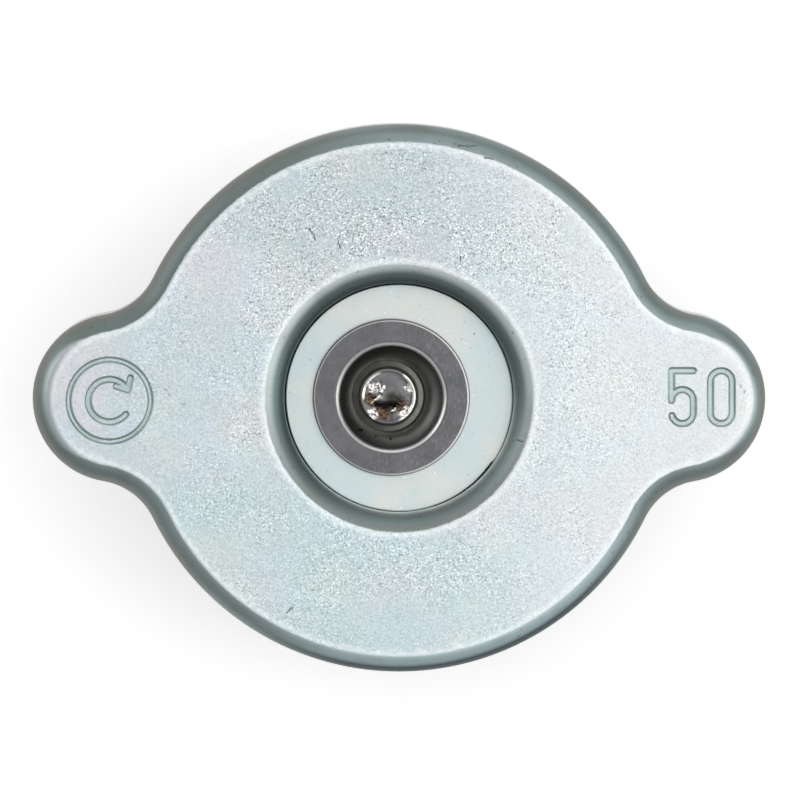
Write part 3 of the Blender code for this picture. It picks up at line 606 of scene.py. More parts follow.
def worn_rivet_steel():
    """Rivet steel: smooth grey, with painted highlights on two polished arcs of its edge, burnish on
    bright spots and on the lips of the crease that the closing tool left, and brown with rust on the
    crumpled side."""
    steel = Finish("worn_rivet_steel", 1.0, 0.25, VALVE_AXIS + CLOSING_SLIP)
    ragged = steel.warped(0.45, 0.14)
    fine = steel.grain(0.22, 2, 0.6, shift=2.0)
    # painted highlights on two arcs of the head's polished edge
    left_highlight = steel.band(steel.radius, 2.16, 0.05, 0.08)
    right_highlight = steel.band(steel.radius, 2.28, 0.1, 0.06)
    # painted highlights together with burnish on bright spots and on the crease's lips
    highlight_and_burnish = steel.combine(
        "MAXIMUM",
        steel.combine("MULTIPLY", left_highlight, steel.toward(148, 0.72, 0.88)),
        steel.combine("MULTIPLY", right_highlight, steel.toward(-5, 0.42, 0.62)),
        steel.combine(
            "MULTIPLY", steel.strokes(ragged, RIVET_BRIGHT, 0.22, 0.25), steel.step(fine, 0.36, 0.54)
        ),
        steel.strokes(ragged, RIVET_LIPS, 0.05, 0.1),
    )
    olive = steel.stroke(ragged, 0.5, -0.35, 0.6, -20, 0.25, 0.8)
    rust = steel.strokes(ragged, RIVET_RUST, 0.35, 0.35)
    crease = steel.strokes(steel.warped(0.3, 0.05), RIVET_CREASE, 0.1, 0.16)
    head = RIVET_TOP / MM
    layers = [
        (steel.step(steel.grain(1.1, 2, shift=5.0), 0.35, 0.65), "757576"),
        (steel.combine("MULTIPLY", olive, 0.9), "35322B"),
        (rust, steel.mix(steel.step(steel.grain(0.3, 2, shift=6.0), 0.38, 0.64), "382C26", "7E6650")),
        (highlight_and_burnish, "F4F1EA"),
        (steel.combine("MULTIPLY", crease, 0.95), "231A1E"),
        (steel.step(steel.z, head - 1.4, head - 1.0, 1.0, 0.0), "8A888A"),
    ]
    colour = steel.layered("666668", layers)
    roughness = steel.blend(highlight_and_burnish, steel.blend(rust, 0.3, 0.5), 0.22)
    return steel.done(colour, roughness, fine, 0.014)


def rolled_stainless():
    """Rolled and pressed stainless sheet: neutral grey and satin, with the fine grain of its rolling."""
    steel = Finish("rolled_stainless_sheet", 1.0, 0.3, VALVE_AXIS)
    lines = steel.grain(0.25, 3, 0.6, stretch=(0.06, 1.0, 0.3))
    tone = steel.step(steel.grain(4.0, 2), 0.3, 0.7)
    colour = steel.mix(tone, "B4B3B0", "C4C3C0")
    colour = steel.mix(steel.step(lines, 0.45, 0.3, 0.0, 0.2), colour, "9A9996")
    return steel.done(colour, steel.step(lines, 0.3, 0.7, 0.26, 0.36), lines, 0.0015)


def drawn_spring_wire():
    """Drawn and tempered spring wire: dark grey with a blue cast and a slight oily gloss."""
    wire = Finish("drawn_spring_wire", 1.0, 0.36, VALVE_AXIS)
    tone = wire.step(wire.grain(1.8, 3), 0.35, 0.65)
    fine = wire.grain(0.15, 2, 0.6)
    colour = wire.mix(tone, "74777B", "8E8F90")
    return wire.done(colour, wire.step(fine, 0.3, 0.7, 0.3, 0.44), fine, 0.004)


def turned_brass():
    """Turned brass, slightly dulled: warm yellow with fine rings from the lathe."""
    brass = Finish("turned_brass", 1.0, 0.3, VALVE_AXIS)
    turns = brass.combine("MULTIPLY", brass.radius, 45.0)
    rings = brass.node("ShaderNodeMath", {0: turns}, operation="SINE")
    tone = brass.step(brass.grain(2.5, 2), 0.35, 0.65)
    colour = brass.mix(tone, "C29E60", "CFAD6C")
    return brass.done(colour, brass.step(tone, 0.0, 1.0, 0.34, 0.28), rings, 0.0015)


def moulded_rubber():
    """Moulded nitrile rubber: near black, matt, with a faint dusty bloom and a fine mould texture."""
    rubber = Finish("moulded_nitrile_rubber", 0.0, 0.62, VALVE_AXIS)
    bloom = rubber.step(rubber.grain(2.2, 3), 0.45, 0.75, 0.0, 0.6)
    fine = rubber.grain(0.14, 2, 0.6)
    colour = rubber.mix(bloom, "1B1B1C", "313130")
    rubber.shader.inputs["IOR"].default_value = 1.52
    return rubber.done(colour, rubber.step(fine, 0.3, 0.7, 0.55, 0.72), fine, 0.008)


def piece(name, mesh, material, slot, body, *nodes):
    """Puts a finished mesh into the scene in place of its CAD nodes."""
    mesh.name = name
    mesh.materials.clear()
    mesh.materials.append(material)
    mesh.shade_smooth()
    mesh.set_sharp_from_angle(angle=math.radians(38))
    obj = bpy.data.objects.new(name, mesh)
    bpy.context.scene.collection.objects.link(obj)
    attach(obj, body)
    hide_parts(*nodes)
    return obj


def to_mesh(work, name):
    """The bmesh as a mesh, with its doubles merged and its faces pointing out."""
    bmesh.ops.remove_doubles(work, verts=work.verts, dist=MM / 1000)
    bmesh.ops.recalc_face_normals(work, faces=work.faces)
    mesh = bpy.data.meshes.new(name)
    work.to_mesh(mesh)
    work.free()
    return mesh


def evaluated(mesh, prepare):
    """The mesh after the modifiers that prepare adds to its object."""
    obj = bpy.data.objects.new(mesh.name, mesh)
    bpy.context.scene.collection.objects.link(obj)
    prepare(obj)
    graph = bpy.context.evaluated_depsgraph_get()
    made = bpy.data.meshes.new_from_object(obj.evaluated_get(graph))
    obj.modifiers.clear()
    bpy.data.objects.remove(obj, do_unlink=True)
    return made


def thickened(mesh, sheet):
    """The open skin with its sheet thickness, on the side away from its normals."""

    def prepare(obj):
        wall = obj.modifiers.new("Sheet", "SOLIDIFY")
        wall.thickness = sheet
        wall.offset = -1.0
        wall.use_even_offset = True

    return evaluated(mesh, prepare)


def rounded_path(points, steps=STEPS_BEND):
    """A section line through (r, z) corners. A third number in a corner is the radius that rounds it."""
    path = []
    last = len(points) - 1
    for i, (r, z, *radius) in enumerate(points):
        if not radius or i in (0, last):
            path.append((r, z))
            continue
        corner = Vector((r, z))
        back = Vector(points[i - 1][:2]) - corner
        ahead = Vector(points[i + 1][:2]) - corner
        lengths = back.length, ahead.length
        back.normalize()
        ahead.normalize()
        half = back.angle(ahead) / 2
        run = min(radius[0] / math.tan(half), 0.45 * min(lengths))
        bend = run * math.tan(half)
        centre = corner + (back + ahead).normalized() * (bend / math.sin(half))
        start = corner + back * run - centre
        end = corner + ahead * run - centre
        sweep = start.angle_signed(end)
        hold = min(HOLD, 0.04 * min(lengths))
        path.append(tuple(corner + back * (run + hold)))
        for k in range(steps + 1):
            path.append(tuple(centre + Matrix.Rotation(-sweep * k / steps, 2) @ start))
        path.append(tuple(corner + ahead * (run + hold)))
    return path


def lathe(path, closed, axis=VALVE_AXIS, steps=STEPS_ROUND, reshape=None):
    """The section line turned round the vertical at axis. Going outwards, it makes a skin facing up."""
    work = bmesh.new()
    rings = []
    for r, z in path:
        if r < MM / 1000:
            rings.append([work.verts.new((axis.x, axis.y, z))] * steps)
            continue
        ring = []
        for k in range(steps):
            angle = 2 * math.pi * k / steps
            point = Vector((r * math.cos(angle), r * math.sin(angle), z))
            if reshape:
                point = reshape(point, angle)
            ring.append(work.verts.new(point + axis))
        rings.append(ring)
    following = rings[1:] + (rings[:1] if closed else [])
    for first, second in zip(rings, following):
        for i in range(steps):
            j = (i + 1) % steps
            corners = list(dict.fromkeys((first[i], second[i], second[j], first[j])))
            if len(corners) > 2:
                work.faces.new(corners)
    return work


def turned(name, corners, axis=VALVE_AXIS, steps=STEPS_ROUND, touches_axis=False, reshape=None):
    """A solid of revolution. Its corners run from the top down the outer side and back up the bore."""
    path = rounded_path(corners) if touches_axis else rounded_path([*corners, corners[0]])[:-1]
    return to_mesh(lathe(path, not touches_axis, axis, steps, reshape), name)


def pressed(name, corners, sheet, steps=STEPS_ROUND):
    """A round sheet-metal pressing from the skin that faces left of the line's direction."""
    mesh = bpy.data.meshes.new(name)
    work = lathe(rounded_path(corners), False, VALVE_AXIS, steps)
    work.to_mesh(mesh)
    work.free()
    return thickened(mesh, sheet)


def mirrored(station, x_sign, y_sign):
    (x, y), (nx, ny) = station
    return (x * x_sign, y * y_sign), (nx * x_sign, ny * y_sign)


def plan_stations():
    """Points and outward normals round the skirt's lower edge, from the +X ear's tip, one turn."""
    ear_centre = EAR_REACH - EAR_RADIUS
    to_body, to_ear = BODY_RADIUS + EAR_FILLET, EAR_RADIUS + EAR_FILLET
    fillet_x = (to_body**2 - to_ear**2 + ear_centre**2) / (2 * ear_centre)
    fillet_y = math.sqrt(to_body**2 - fillet_x**2)
    ear_end = math.atan2(fillet_y, fillet_x - ear_centre)
    body_start = math.atan2(fillet_y, fillet_x)
    lug_start = math.pi / 2 - math.asin(LUG_WIDTH / 2 / BODY_RADIUS)

    quarter = []
    for k in range(STEPS_EAR):
        angle = ear_end * k / STEPS_EAR
        normal = (math.cos(angle), math.sin(angle))
        quarter.append(((ear_centre + EAR_RADIUS * normal[0], EAR_RADIUS * normal[1]), normal))
    for k in range(STEPS_FILLET):
        angle = ear_end + (body_start - ear_end) * k / STEPS_FILLET
        normal = (math.cos(angle), math.sin(angle))
        quarter.append(((fillet_x - EAR_FILLET * normal[0], fillet_y - EAR_FILLET * normal[1]), normal))
    body_angles = [body_start + (lug_start - body_start) * k / STEPS_BODY for k in range(STEPS_BODY)]
    body_angles += [lug_start + (math.pi / 2 - lug_start) * k / STEPS_LUG for k in range(STEPS_LUG)]
    for angle in body_angles:
        normal = (math.cos(angle), math.sin(angle))
        quarter.append(((BODY_RADIUS * normal[0], BODY_RADIUS * normal[1]), normal))

    top = ((0.0, BODY_RADIUS), (0.0, 1.0))
    half = quarter + [top] + [mirrored(s, -1, 1) for s in reversed(quarter[1:])]
    tip = mirrored(quarter[0], -1, 1)
    return half + [tip] + [mirrored(s, 1, -1) for s in reversed(half[1:])]


def lug_reach(angle_from_middle):
    """How far a lug's flat reaches in from the skirt's outside, less its rounded corners."""
    along = abs(angle_from_middle) * BODY_RADIUS
    half_width = math.asin(LUG_WIDTH / 2 / BODY_RADIUS) * BODY_RADIUS
    into_corner = min(max(along - (half_width - LUG_CORNER), 0.0), LUG_CORNER)
    return SHELL_SHEET + LUG_GRIP - LUG_CORNER + math.sqrt(LUG_CORNER**2 - into_corner**2)


def arc(centre, radius, start, end, steps=16):
    """Points along an arc, its angles in degrees."""
    angles = [math.radians(start + (end - start) * k / steps) for k in range(steps + 1)]
    return [(centre[0] + radius * math.cos(a), centre[1] + radius * math.sin(a)) for a in angles]


def ring_mark():
    """A plain ring round a curved arrow that points the way the cap turns."""
    arrow_radius = 0.52 * RING_RADIUS
    tip_angle, barb = 30.0, 0.30 * RING_RADIUS
    arrow = arc((0.0, 0.0), arrow_radius, tip_angle + 290, tip_angle + 12, 32)
    tip = arc((0.0, 0.0), arrow_radius, tip_angle, tip_angle, 1)[0]
    heading = math.radians(tip_angle - 90)
    barbs = []
    for side in (-1, 1):
        angle = heading + math.pi - side * math.radians(42)
        barbs.append([tip, (tip[0] + barb * math.cos(angle), tip[1] + barb * math.sin(angle))])
    ring = (arc((0.0, 0.0), RING_RADIUS, 0, 360, 64), RING_STROKE)
    return [ring, (arrow + [tip], MARK_STROKE), *[(line, MARK_STROKE) for line in barbs]]


def number_mark():
    """The plain number 50, in upright digits."""
    top, side = DIGIT_HEIGHT / 2, DIGIT_WIDTH / 2
    straight = top - side
    zero = [(side, straight), *arc((0.0, straight), side, 0, 180)]
    zero += [*arc((0.0, -straight), side, 180, 360), zero[0]]
    bowl = -0.3 * side
    five = [(side, top), (-side, top), (-side, bowl), *arc((0.0, bowl), side, 180, 0)]
    five += arc((0.0, -straight), side, 0, -165)
    shift = (DIGIT_WIDTH + DIGIT_SPACING) / 2
    return [([(x + shift * k, y) for x, y in line], MARK_STROKE) for k, line in ((-1, five), (1, zero))]


def distance_to_line(points, line):
    """Each point's distance to a line through several points."""
    line = np.array(line)
    start, along = line[:-1], np.diff(line, axis=0)
    gap = points[:, None, :] - start[None]
    share = np.clip((gap * along).sum(2) / np.maximum((along**2).sum(1), 1e-18), 0, 1)
    return np.linalg.norm(gap - share[..., None] * along, axis=2).min(1)


def mark_depth(points, strokes):
    """How deep the strokes cut at each point, and how far each point is from the nearest groove."""
    depth = np.zeros(len(points))
    clear = np.full(len(points), np.inf)
    for line, width in strokes:
        outside = distance_to_line(points, line) - width / 2
        share = np.clip(-outside / MARK_WALL, 0, 1)
        depth = np.maximum(depth, MARK_DEPTH * share * share * (3 - 2 * share))
        clear = np.minimum(clear, outside)
    return depth, clear


def grid(low, high, cell):
    """Points of a grid whose odd rows are shifted by half a cell."""
    columns = np.arange(low[0], high[0], cell)
    rows = np.arange(low[1], high[1], cell * 0.87)
    x, y = np.meshgrid(columns, rows)
    x[1::2] += cell / 2
    return np.stack([x.ravel(), y.ravel()], 1)


def placed_marks():
    """The two stamped marks where they stand on the ears, each as its middle and its strokes."""
    marks = []
    for place, strokes in ((RING_PLACE, ring_mark()), (NUMBER_PLACE, number_mark())):
        placed = [([(x + place[0], y + place[1]) for x, y in line], width) for line, width in strokes]
        marks.append((place, placed))
    return marks


def rim_distance_of(points, rims):
    return np.min([distance_to_line(points, np.vstack([rim, rim[:1]])) for rim in rims], axis=0)


def points_within(rims, marks):
    """Points of the top between its rims, close together only along the grooves' sides."""
    reach = RING_RADIUS + MARK_STROKE
    near = []
    for (x, y), placed in marks:
        points = grid((x - reach, y - reach), (x + reach, y + reach), MARK_CELL)
        clear = mark_depth(points, placed)[1]
        near.append(points[(clear < 2 * MARK_CELL) & (clear > -MARK_WALL - 2 * MARK_CELL)])
    wide = grid((-EAR_REACH, -BODY_RADIUS), (EAR_REACH, BODY_RADIUS), TOP_CELL)
    every = [stroke for _, placed in marks for stroke in placed]
    wide = wide[mark_depth(wide, every)[1] > 3 * MARK_CELL]
    inner = np.concatenate([*near, wide])
    inside = inside_outline(inner, rims[0]) & (np.hypot(*inner.T) > RECESS_RADIUS + RECESS_RIM)
    return inner[inside & (rim_distance_of(inner, rims) > TOP_CELL / 3)]


def top_face(outline, mouth):
    """The flat top between its outline and the recess's mouth, with the two stamped marks."""
    marks = placed_marks()
    rims = [np.array(outline), np.array(mouth)]
    inner = points_within(rims, marks)
    loops = np.concatenate([rims[0], rims[1]])
    count, total = len(rims[0]), len(loops)
    edges = [(i, (i + 1) % count) for i in range(count)]
    edges += [(i, i + 1 if i + 1 < total else count) for i in range(count, total)]
    points = [Vector(p) for p in np.concatenate([loops, inner]).tolist()]
    flat, _, faces, *_ = delaunay_2d_cdt(points, edges, [], 1, 1e-9, False)

    flat = np.array([tuple(p) for p in flat])
    depth = mark_depth(flat, [stroke for _, placed in marks for stroke in placed])[0]
    depth *= [1 + MARK_UNEVEN * noise.noise(Vector((x, y, 0.0)) / (2.5 * MM)) for x, y in flat.tolist()]
    to_rim = rim_distance_of(flat, rims)
    fade = np.clip(to_rim / (2 * TOP_CELL), 0, 1)
    work = bmesh.new()
    rim_distance = work.verts.layers.float.new(RIM_DISTANCE)
    verts = []
    for (x, y), cut, share, away in zip(flat.tolist(), depth.tolist(), fade.tolist(), to_rim.tolist()):
        wave = noise.noise(Vector((x, y, 0.0)) / (4 * MM)) * TOP_WAVE * share
        vert = work.verts.new((x, y, SHELL_TOP - cut + wave))
        vert[rim_distance] = away
        verts.append(vert)
    middles = np.array([flat[list(face)].mean(0) for face in faces])
    kept = inside_outline(middles, rims[0]) & ~inside_outline(middles, rims[1])
    for face, keep in zip(faces, kept):
        if keep:
            made = work.faces.new([verts[i] for i in face])
            made.normal_update()
            if made.normal.z < 0:
                made.normal_flip()
    return work


def inside_outline(points, outline):
    """Which points are inside the outline, by counting the sides that a ray to +X crosses."""
    inside = np.zeros(len(points), bool)
    x, y = points.T
    for (x1, y1), (x2, y2) in zip(outline, np.roll(outline, -1, axis=0)):
        crosses = (y1 > y) != (y2 > y)
        if crosses.any():
            inside ^= crosses & (x < x1 + (y - y1) * (x2 - x1) / (y2 - y1 if y2 != y1 else 1.0))
    return inside


def add_lugs(work, skirt_edge, stations):
    """Bends the two lugs in from the skirt's lower edge."""
    bend = rounded_path(
        [
            (0.0, SKIRT_EDGE + LUG_BEND),
            (0.0, LUG_BOTTOM, LUG_BEND + SHELL_SHEET),
            (-SHELL_SHEET - LUG_GRIP, LUG_BOTTOM),
        ]
    )[3:-1]
    for middle in (len(stations) // 4, 3 * len(stations) // 4):
        previous = None
        for i in range(middle - STEPS_LUG, middle + STEPS_LUG + 1):
            (x, y), (nx, ny) = stations[i]
            reach = lug_reach(math.atan2(ny, nx) - math.copysign(math.pi / 2, ny))
            column = [skirt_edge[i]]
            for offset, z in [*bend, (-reach, LUG_BOTTOM)]:
                column.append(work.verts.new((x + offset * nx, y + offset * ny, z)))
            if previous:
                for k in range(len(column) - 1):
                    work.faces.new((previous[k], previous[k + 1], column[k + 1], column[k]))
            previous = column


def with_marked_top(mesh, outline, mouth):
    """The pressing with its plain top strip, which has material 1, replaced by the marked top."""
    shell = bmesh.new()
    shell.verts.layers.float.new(RIM_DISTANCE)
    shell.from_mesh(mesh)
    strip = [f for f in shell.faces if f.material_index == 1 and f.normal.z > 0.5]
    bmesh.ops.delete(shell, geom=strip, context="FACES_ONLY")
    for face in shell.faces:
        face.material_index = 0
    top_mesh = bpy.data.meshes.new("top_face")
    flat_top = top_face(outline, mouth)
    flat_top.to_mesh(top_mesh)
    flat_top.free()
    shell.from_mesh(top_mesh)
    return to_mesh(shell, "shell_pressing")


def make_shell(material):
    """The pressed shell: recess, rounded edge, skirt and lugs as one loft, then the marked top face."""
    stations = plan_stations()
    count = len(stations)
    recess = rounded_path(
        [
            (SWIVEL_HOLE, FLOOR_TOP),
            (RECESS_RADIUS, FLOOR_TOP, RECESS_CORNER),
            (RECESS_RADIUS, SHELL_TOP, RECESS_RIM),
            (RECESS_RADIUS + 2 * RECESS_RIM, SHELL_TOP),
        ],
        2 * STEPS_BEND,
    )[:-1]
    edge = rounded_path(
        [
            (-3 * EDGE_RADIUS, SHELL_TOP),
            (0.0, SHELL_TOP, EDGE_RADIUS),
            (0.0, SKIRT_EDGE),
        ],
        2 * STEPS_BEND,
    )[1:]
    angles = [math.atan2(y, x) for (x, y), _ in stations]
    work = bmesh.new()
    loops = []
    for radius, z in recess:
        loops.append([work.verts.new((radius * math.cos(a), radius * math.sin(a), z)) for a in angles])
    for offset, z in edge:
        loop = []
        for ((x, y), (nx, ny)), angle in zip(stations, angles):
            inward = offset * (1 + EDGE_UNEVEN * math.cos(angle - EDGE_WIDEST))
            loop.append(work.verts.new((x + inward * nx, y + inward * ny, z)))
        loops.append(loop)
    top = len(recess) - 1
    for k, (inner, outer) in enumerate(zip(loops, loops[1:])):
        for i in range(count):
            j = (i + 1) % count
            face = work.faces.new((inner[i], outer[i], outer[j], inner[j]))
            face.material_index = int(k == top)
    mouth = [v.co.xy.to_tuple() for v in loops[top]]
    outline = [v.co.xy.to_tuple() for v in loops[top + 1]]
    add_lugs(work, loops[-1], stations)

    mesh = bpy.data.meshes.new("shell_pressing")
    work.to_mesh(mesh)
    work.free()
    mesh = with_marked_top(thickened(mesh, SHELL_SHEET), outline, mouth)
    return piece("shell_pressing", mesh, material, "shell_zinc", "shell", "cap_shell")


def sheared_edge(point, angle):
    """The washer's blanked edge: slightly uneven, with a nick where the tool broke out."""
    if math.hypot(point.x, point.y) < 0.9 * WASHER_RADIUS:
        return point
    degrees = (math.degrees(angle) + 180) % 360 - 180
    uneven = 0.03 * MM * noise.noise(Vector((math.cos(angle), math.sin(angle), 0.0)) * 2.5)
    nick = 0.12 * MM * max(0.0, 1 - (-34 - degrees) / 45) if degrees < -34 else 0.0
    share = 1 - (abs(uneven) + nick) / WASHER_RADIUS
    return Vector((point.x * share, point.y * share, point.z))


def make_loose_washer(material):
    """The flat washer that lies loose in the recess."""
    corners = [
        (SWIVEL_HOLE, WASHER_TOP),
        (WASHER_RADIUS, WASHER_TOP, (WASHER_TOP - WASHER_BOTTOM) / 6),
        (WASHER_RADIUS, WASHER_BOTTOM, RECESS_CORNER),
        (SWIVEL_HOLE, WASHER_BOTTOM),
    ]
    mesh = turned("loose_washer", corners, SHELL_AXIS, 2 * STEPS_ROUND, reshape=sheared_edge)
    mesh.transform(Matrix.Translation(WASHER_SLIP))
    return piece("loose_washer", mesh, material, "washer_zinc", "shell", "recess_washer")


def pushed_ring(point, angle):
    """Moves the ring in the dish as far out of the middle as the rivet's head is."""
    radius = math.hypot(point.x, point.y)
    wall = BUSH_BARREL_RADIUS - BUSH_SHEET
    if point.z < BUSH_FLOOR - REST_GAP or radius > wall:
        return point
    inner = (radius - RIVET_HOLE) / (RIVET_HEAD_RADIUS - RIVET_HOLE)
    outer = (wall - radius) / (wall - DISH_RING_RADIUS)
    return point + CLOSING_SLIP * max(0.0, min(inner, outer, 1.0))


def make_bush(material):
    """The dished bush: a flange over the washer, a rounded lip, and a bowl down to the diaphragm."""
    mouth = BUSH_BARREL_RADIUS - BUSH_SHEET + DISH_MOUTH
    depth = BUSH_TOP - 2 * BUSH_LIP - BUSH_FLOOR
    bowl = []
    for k in range(DISH_STEPS):
        turn = math.pi / 2 * k / DISH_STEPS
        out = DISH_RING_RADIUS + (mouth - DISH_RING_RADIUS) * math.sin(turn)
        bowl.append((out, BUSH_FLOOR + depth * (1 - math.cos(turn))))
    corners = [
        (RIVET_HOLE, BUSH_FLOOR),
        (RIVET_HEAD_RADIUS + REST_GAP, BUSH_FLOOR),
        (RIVET_HEAD_RADIUS + REST_GAP, BUSH_FLOOR + DISH_RING_HEIGHT, DISH_RING_HEIGHT / 2),
        (DISH_RING_RADIUS, BUSH_FLOOR + DISH_RING_HEIGHT / 2, DISH_RING_HEIGHT / 4),
        *bowl,
        (mouth, BUSH_TOP, BUSH_LIP),
        (BUSH_FLANGE_RADIUS, BUSH_TOP, BUSH_EDGE),
        (BUSH_FLANGE_RADIUS, BUSH_TOP - BUSH_SHEET, BUSH_EDGE),
        (BUSH_BARREL_RADIUS, BUSH_TOP - BUSH_SHEET),
        (BUSH_BARREL_RADIUS, BUSH_BOTTOM, BUSH_FOOT + BUSH_SHEET),
        (RIVET_HOLE, BUSH_BOTTOM),
    ]
    mesh = turned("dished_bush", corners, reshape=pushed_ring)
    return piece("dished_bush", mesh, material, "bush_steel", "valve_carrier", "swivel_bush")


def along_stroke(point, stroke, width):
    """1 on the middle of a stroke, given as (x, y, length, turn) in millimetres, and 0 from width on."""
    x, y, length, turn = stroke
    half = Vector((math.cos(math.radians(turn)), math.sin(math.radians(turn)))) * length / 2
    away = Vector((point.x / MM - x, point.y / MM - y))
    share = max(-1.0, min(1.0, away.dot(half) / half.length_squared))
    return max(0.0, 1 - (away - half * share).length / width)


def crumpled_head(point, angle):
    """Dents the rivet's head where its closing tool slipped: a crease, raised lips and a rough side."""
    radius = math.hypot(point.x, point.y)
    if point.z < BUSH_FLOOR or (point.z < BUSH_FLOOR + 2 * REST_GAP and radius < 1.1 * RIVET_SHANK):
        return point
    if point.z < RIVET_TOP - RIVET_HEAD_ROUNDING or radius > RIVET_HEAD_RADIUS:
        return point + CLOSING_SLIP
    crease = max(along_stroke(point, stroke, 0.4) for stroke in RIVET_CREASE)
    lip = max(along_stroke(point, stroke, 0.22) for stroke in RIVET_LIPS)
    rough = max(along_stroke(point, stroke, 0.8) for stroke in RIVET_RUST + RIVET_BRIGHT)
    lumps = noise.turbulence(point / (0.35 * MM), 3, True) * rough
    dish = 1 - radius / RIVET_HEAD_RADIUS
    low = 0.12 + 0.3 * crease + 0.16 * lumps + 0.1 * dish - 0.12 * lip
    inward = min(1.0, (RIVET_HEAD_RADIUS - radius) / (0.35 * MM))
    return point + CLOSING_SLIP - Vector((0.0, 0.0, low * MM * max(inward, 0.0)))


def make_rivet(material):
    """The rivet that closes bush, diaphragm and bell together."""
    head_base = BUSH_FLOOR + REST_GAP
    tail_top = BELL_CEILING - REST_GAP
    rings = 26
    flat = RIVET_HEAD_RADIUS - RIVET_HEAD_ROUNDING - 2 * HOLD
    corners = [
        *[(flat * k / rings, RIVET_TOP) for k in range(rings + 1)],
        (RIVET_HEAD_RADIUS, RIVET_TOP, RIVET_HEAD_ROUNDING),
        (RIVET_HEAD_RADIUS, head_base),
        (RIVET_SHANK, head_base),
        (RIVET_SHANK, tail_top),
        (RIVET_TAIL_RADIUS, tail_top),
        (RIVET_TAIL_RADIUS, RIVET_BOTTOM, RIVET_TAIL_HEIGHT / 2),
        (0.0, RIVET_BOTTOM),
    ]
    mesh = turned("closed_rivet", corners, touches_axis=True, reshape=crumpled_head)
    return piece("closed_rivet", mesh, material, "rivet_steel", "valve_carrier", "rivet")


def make_friction_washer(material):
    """The coned spring washer under the shell's floor."""
    outer = radius_of("friction_washer")
    bottom, top = height_of("friction_washer")
    corners = [
        (FRICTION_BORE, bottom + FRICTION_SHEET),
        (outer, top, FRICTION_SHEET / 4),
        (outer, top - FRICTION_SHEET, FRICTION_SHEET / 4),
        (FRICTION_BORE, bottom),
    ]
    mesh = turned("coned_washer", corners)
    return piece("coned_washer", mesh, material, "spring_steel", "valve_carrier", "friction_washer")


def make_diaphragm(material):
    """The springy disc that presses the upper gasket on to the neck."""
    slope_start = BELL_RADIUS - BELL_CORNER / 2
    rise = DIAPHRAGM_TOP - DIAPHRAGM_RIM_TOP
    corners = [
        (RIVET_HOLE, DIAPHRAGM_TOP),
        (slope_start, DIAPHRAGM_TOP, 2 * rise),
        (slope_start + DIAPHRAGM_SLOPE, DIAPHRAGM_RIM_TOP, 2 * rise),
        (radius_of("diaphragm"), DIAPHRAGM_RIM_TOP),
    ]
    mesh = pressed("sealing_diaphragm", corners, DIAPHRAGM_SHEET)
    return piece("sealing_diaphragm", mesh, material, "stainless", "valve_carrier", "diaphragm")


def make_upper_gasket(material):
    """The rubber ring that seals on the neck's top rim."""
    bottom, top = height_of("upper_gasket")
    outer, bore = radius_of("upper_gasket"), BELL_RADIUS + UPPER_GASKET_GAP
    corners = [
        (bore, top),
        (outer, top, (top - bottom) / 8),
        (outer, bottom, (top - bottom) / 3),
        (bore, bottom, (top - bottom) / 8),
    ]
    mesh = turned("neck_gasket", corners)
    return piece("neck_gasket", mesh, material, "seal_rubber", "valve_carrier", "upper_gasket")


def new_tree(name, geometry_in, sizes):
    """A geometry node tree with named number inputs, and its group input and output nodes."""
    tree = bpy.data.node_groups.new(name, "GeometryNodeTree")
    if geometry_in:
        tree.interface.new_socket("Geometry", in_out="INPUT", socket_type="NodeSocketGeometry")
    for size in sizes:
        tree.interface.new_socket(size, in_out="INPUT", socket_type="NodeSocketFloat")
    tree.interface.new_socket("Finish", in_out="INPUT", socket_type="NodeSocketMaterial")
    tree.interface.new_socket("Geometry", in_out="OUTPUT", socket_type="NodeSocketGeometry")
    return tree, add(tree, "NodeGroupInput").outputs, add(tree, "NodeGroupOutput")


def close_tree(tree, geometry, inputs, output):
    """Ends a tree: instances made real, then the finish."""
    real = add(tree, "GeometryNodeRealizeInstances", {0: geometry})
    finished = add(tree, "GeometryNodeSetMaterial", {0: real.outputs[0], "Material": inputs["Finish"]})
    tree.links.new(finished.outputs[0], output.inputs[0])
    return tree


def from_tree(tree, name, sizes, material, mesh=None):
    """The mesh that a tree makes with these sizes."""

    def prepare(obj):
        modifier = obj.modifiers.new("Tree", "NODES")
        modifier.node_group = tree
        values = {**sizes, "Finish": material}
        for item in tree.interface.items_tree:
            if item.in_out == "INPUT" and item.name in values:
                modifier[item.identifier] = values[item.name]

    return evaluated(mesh or bpy.data.meshes.new(name), prepare)


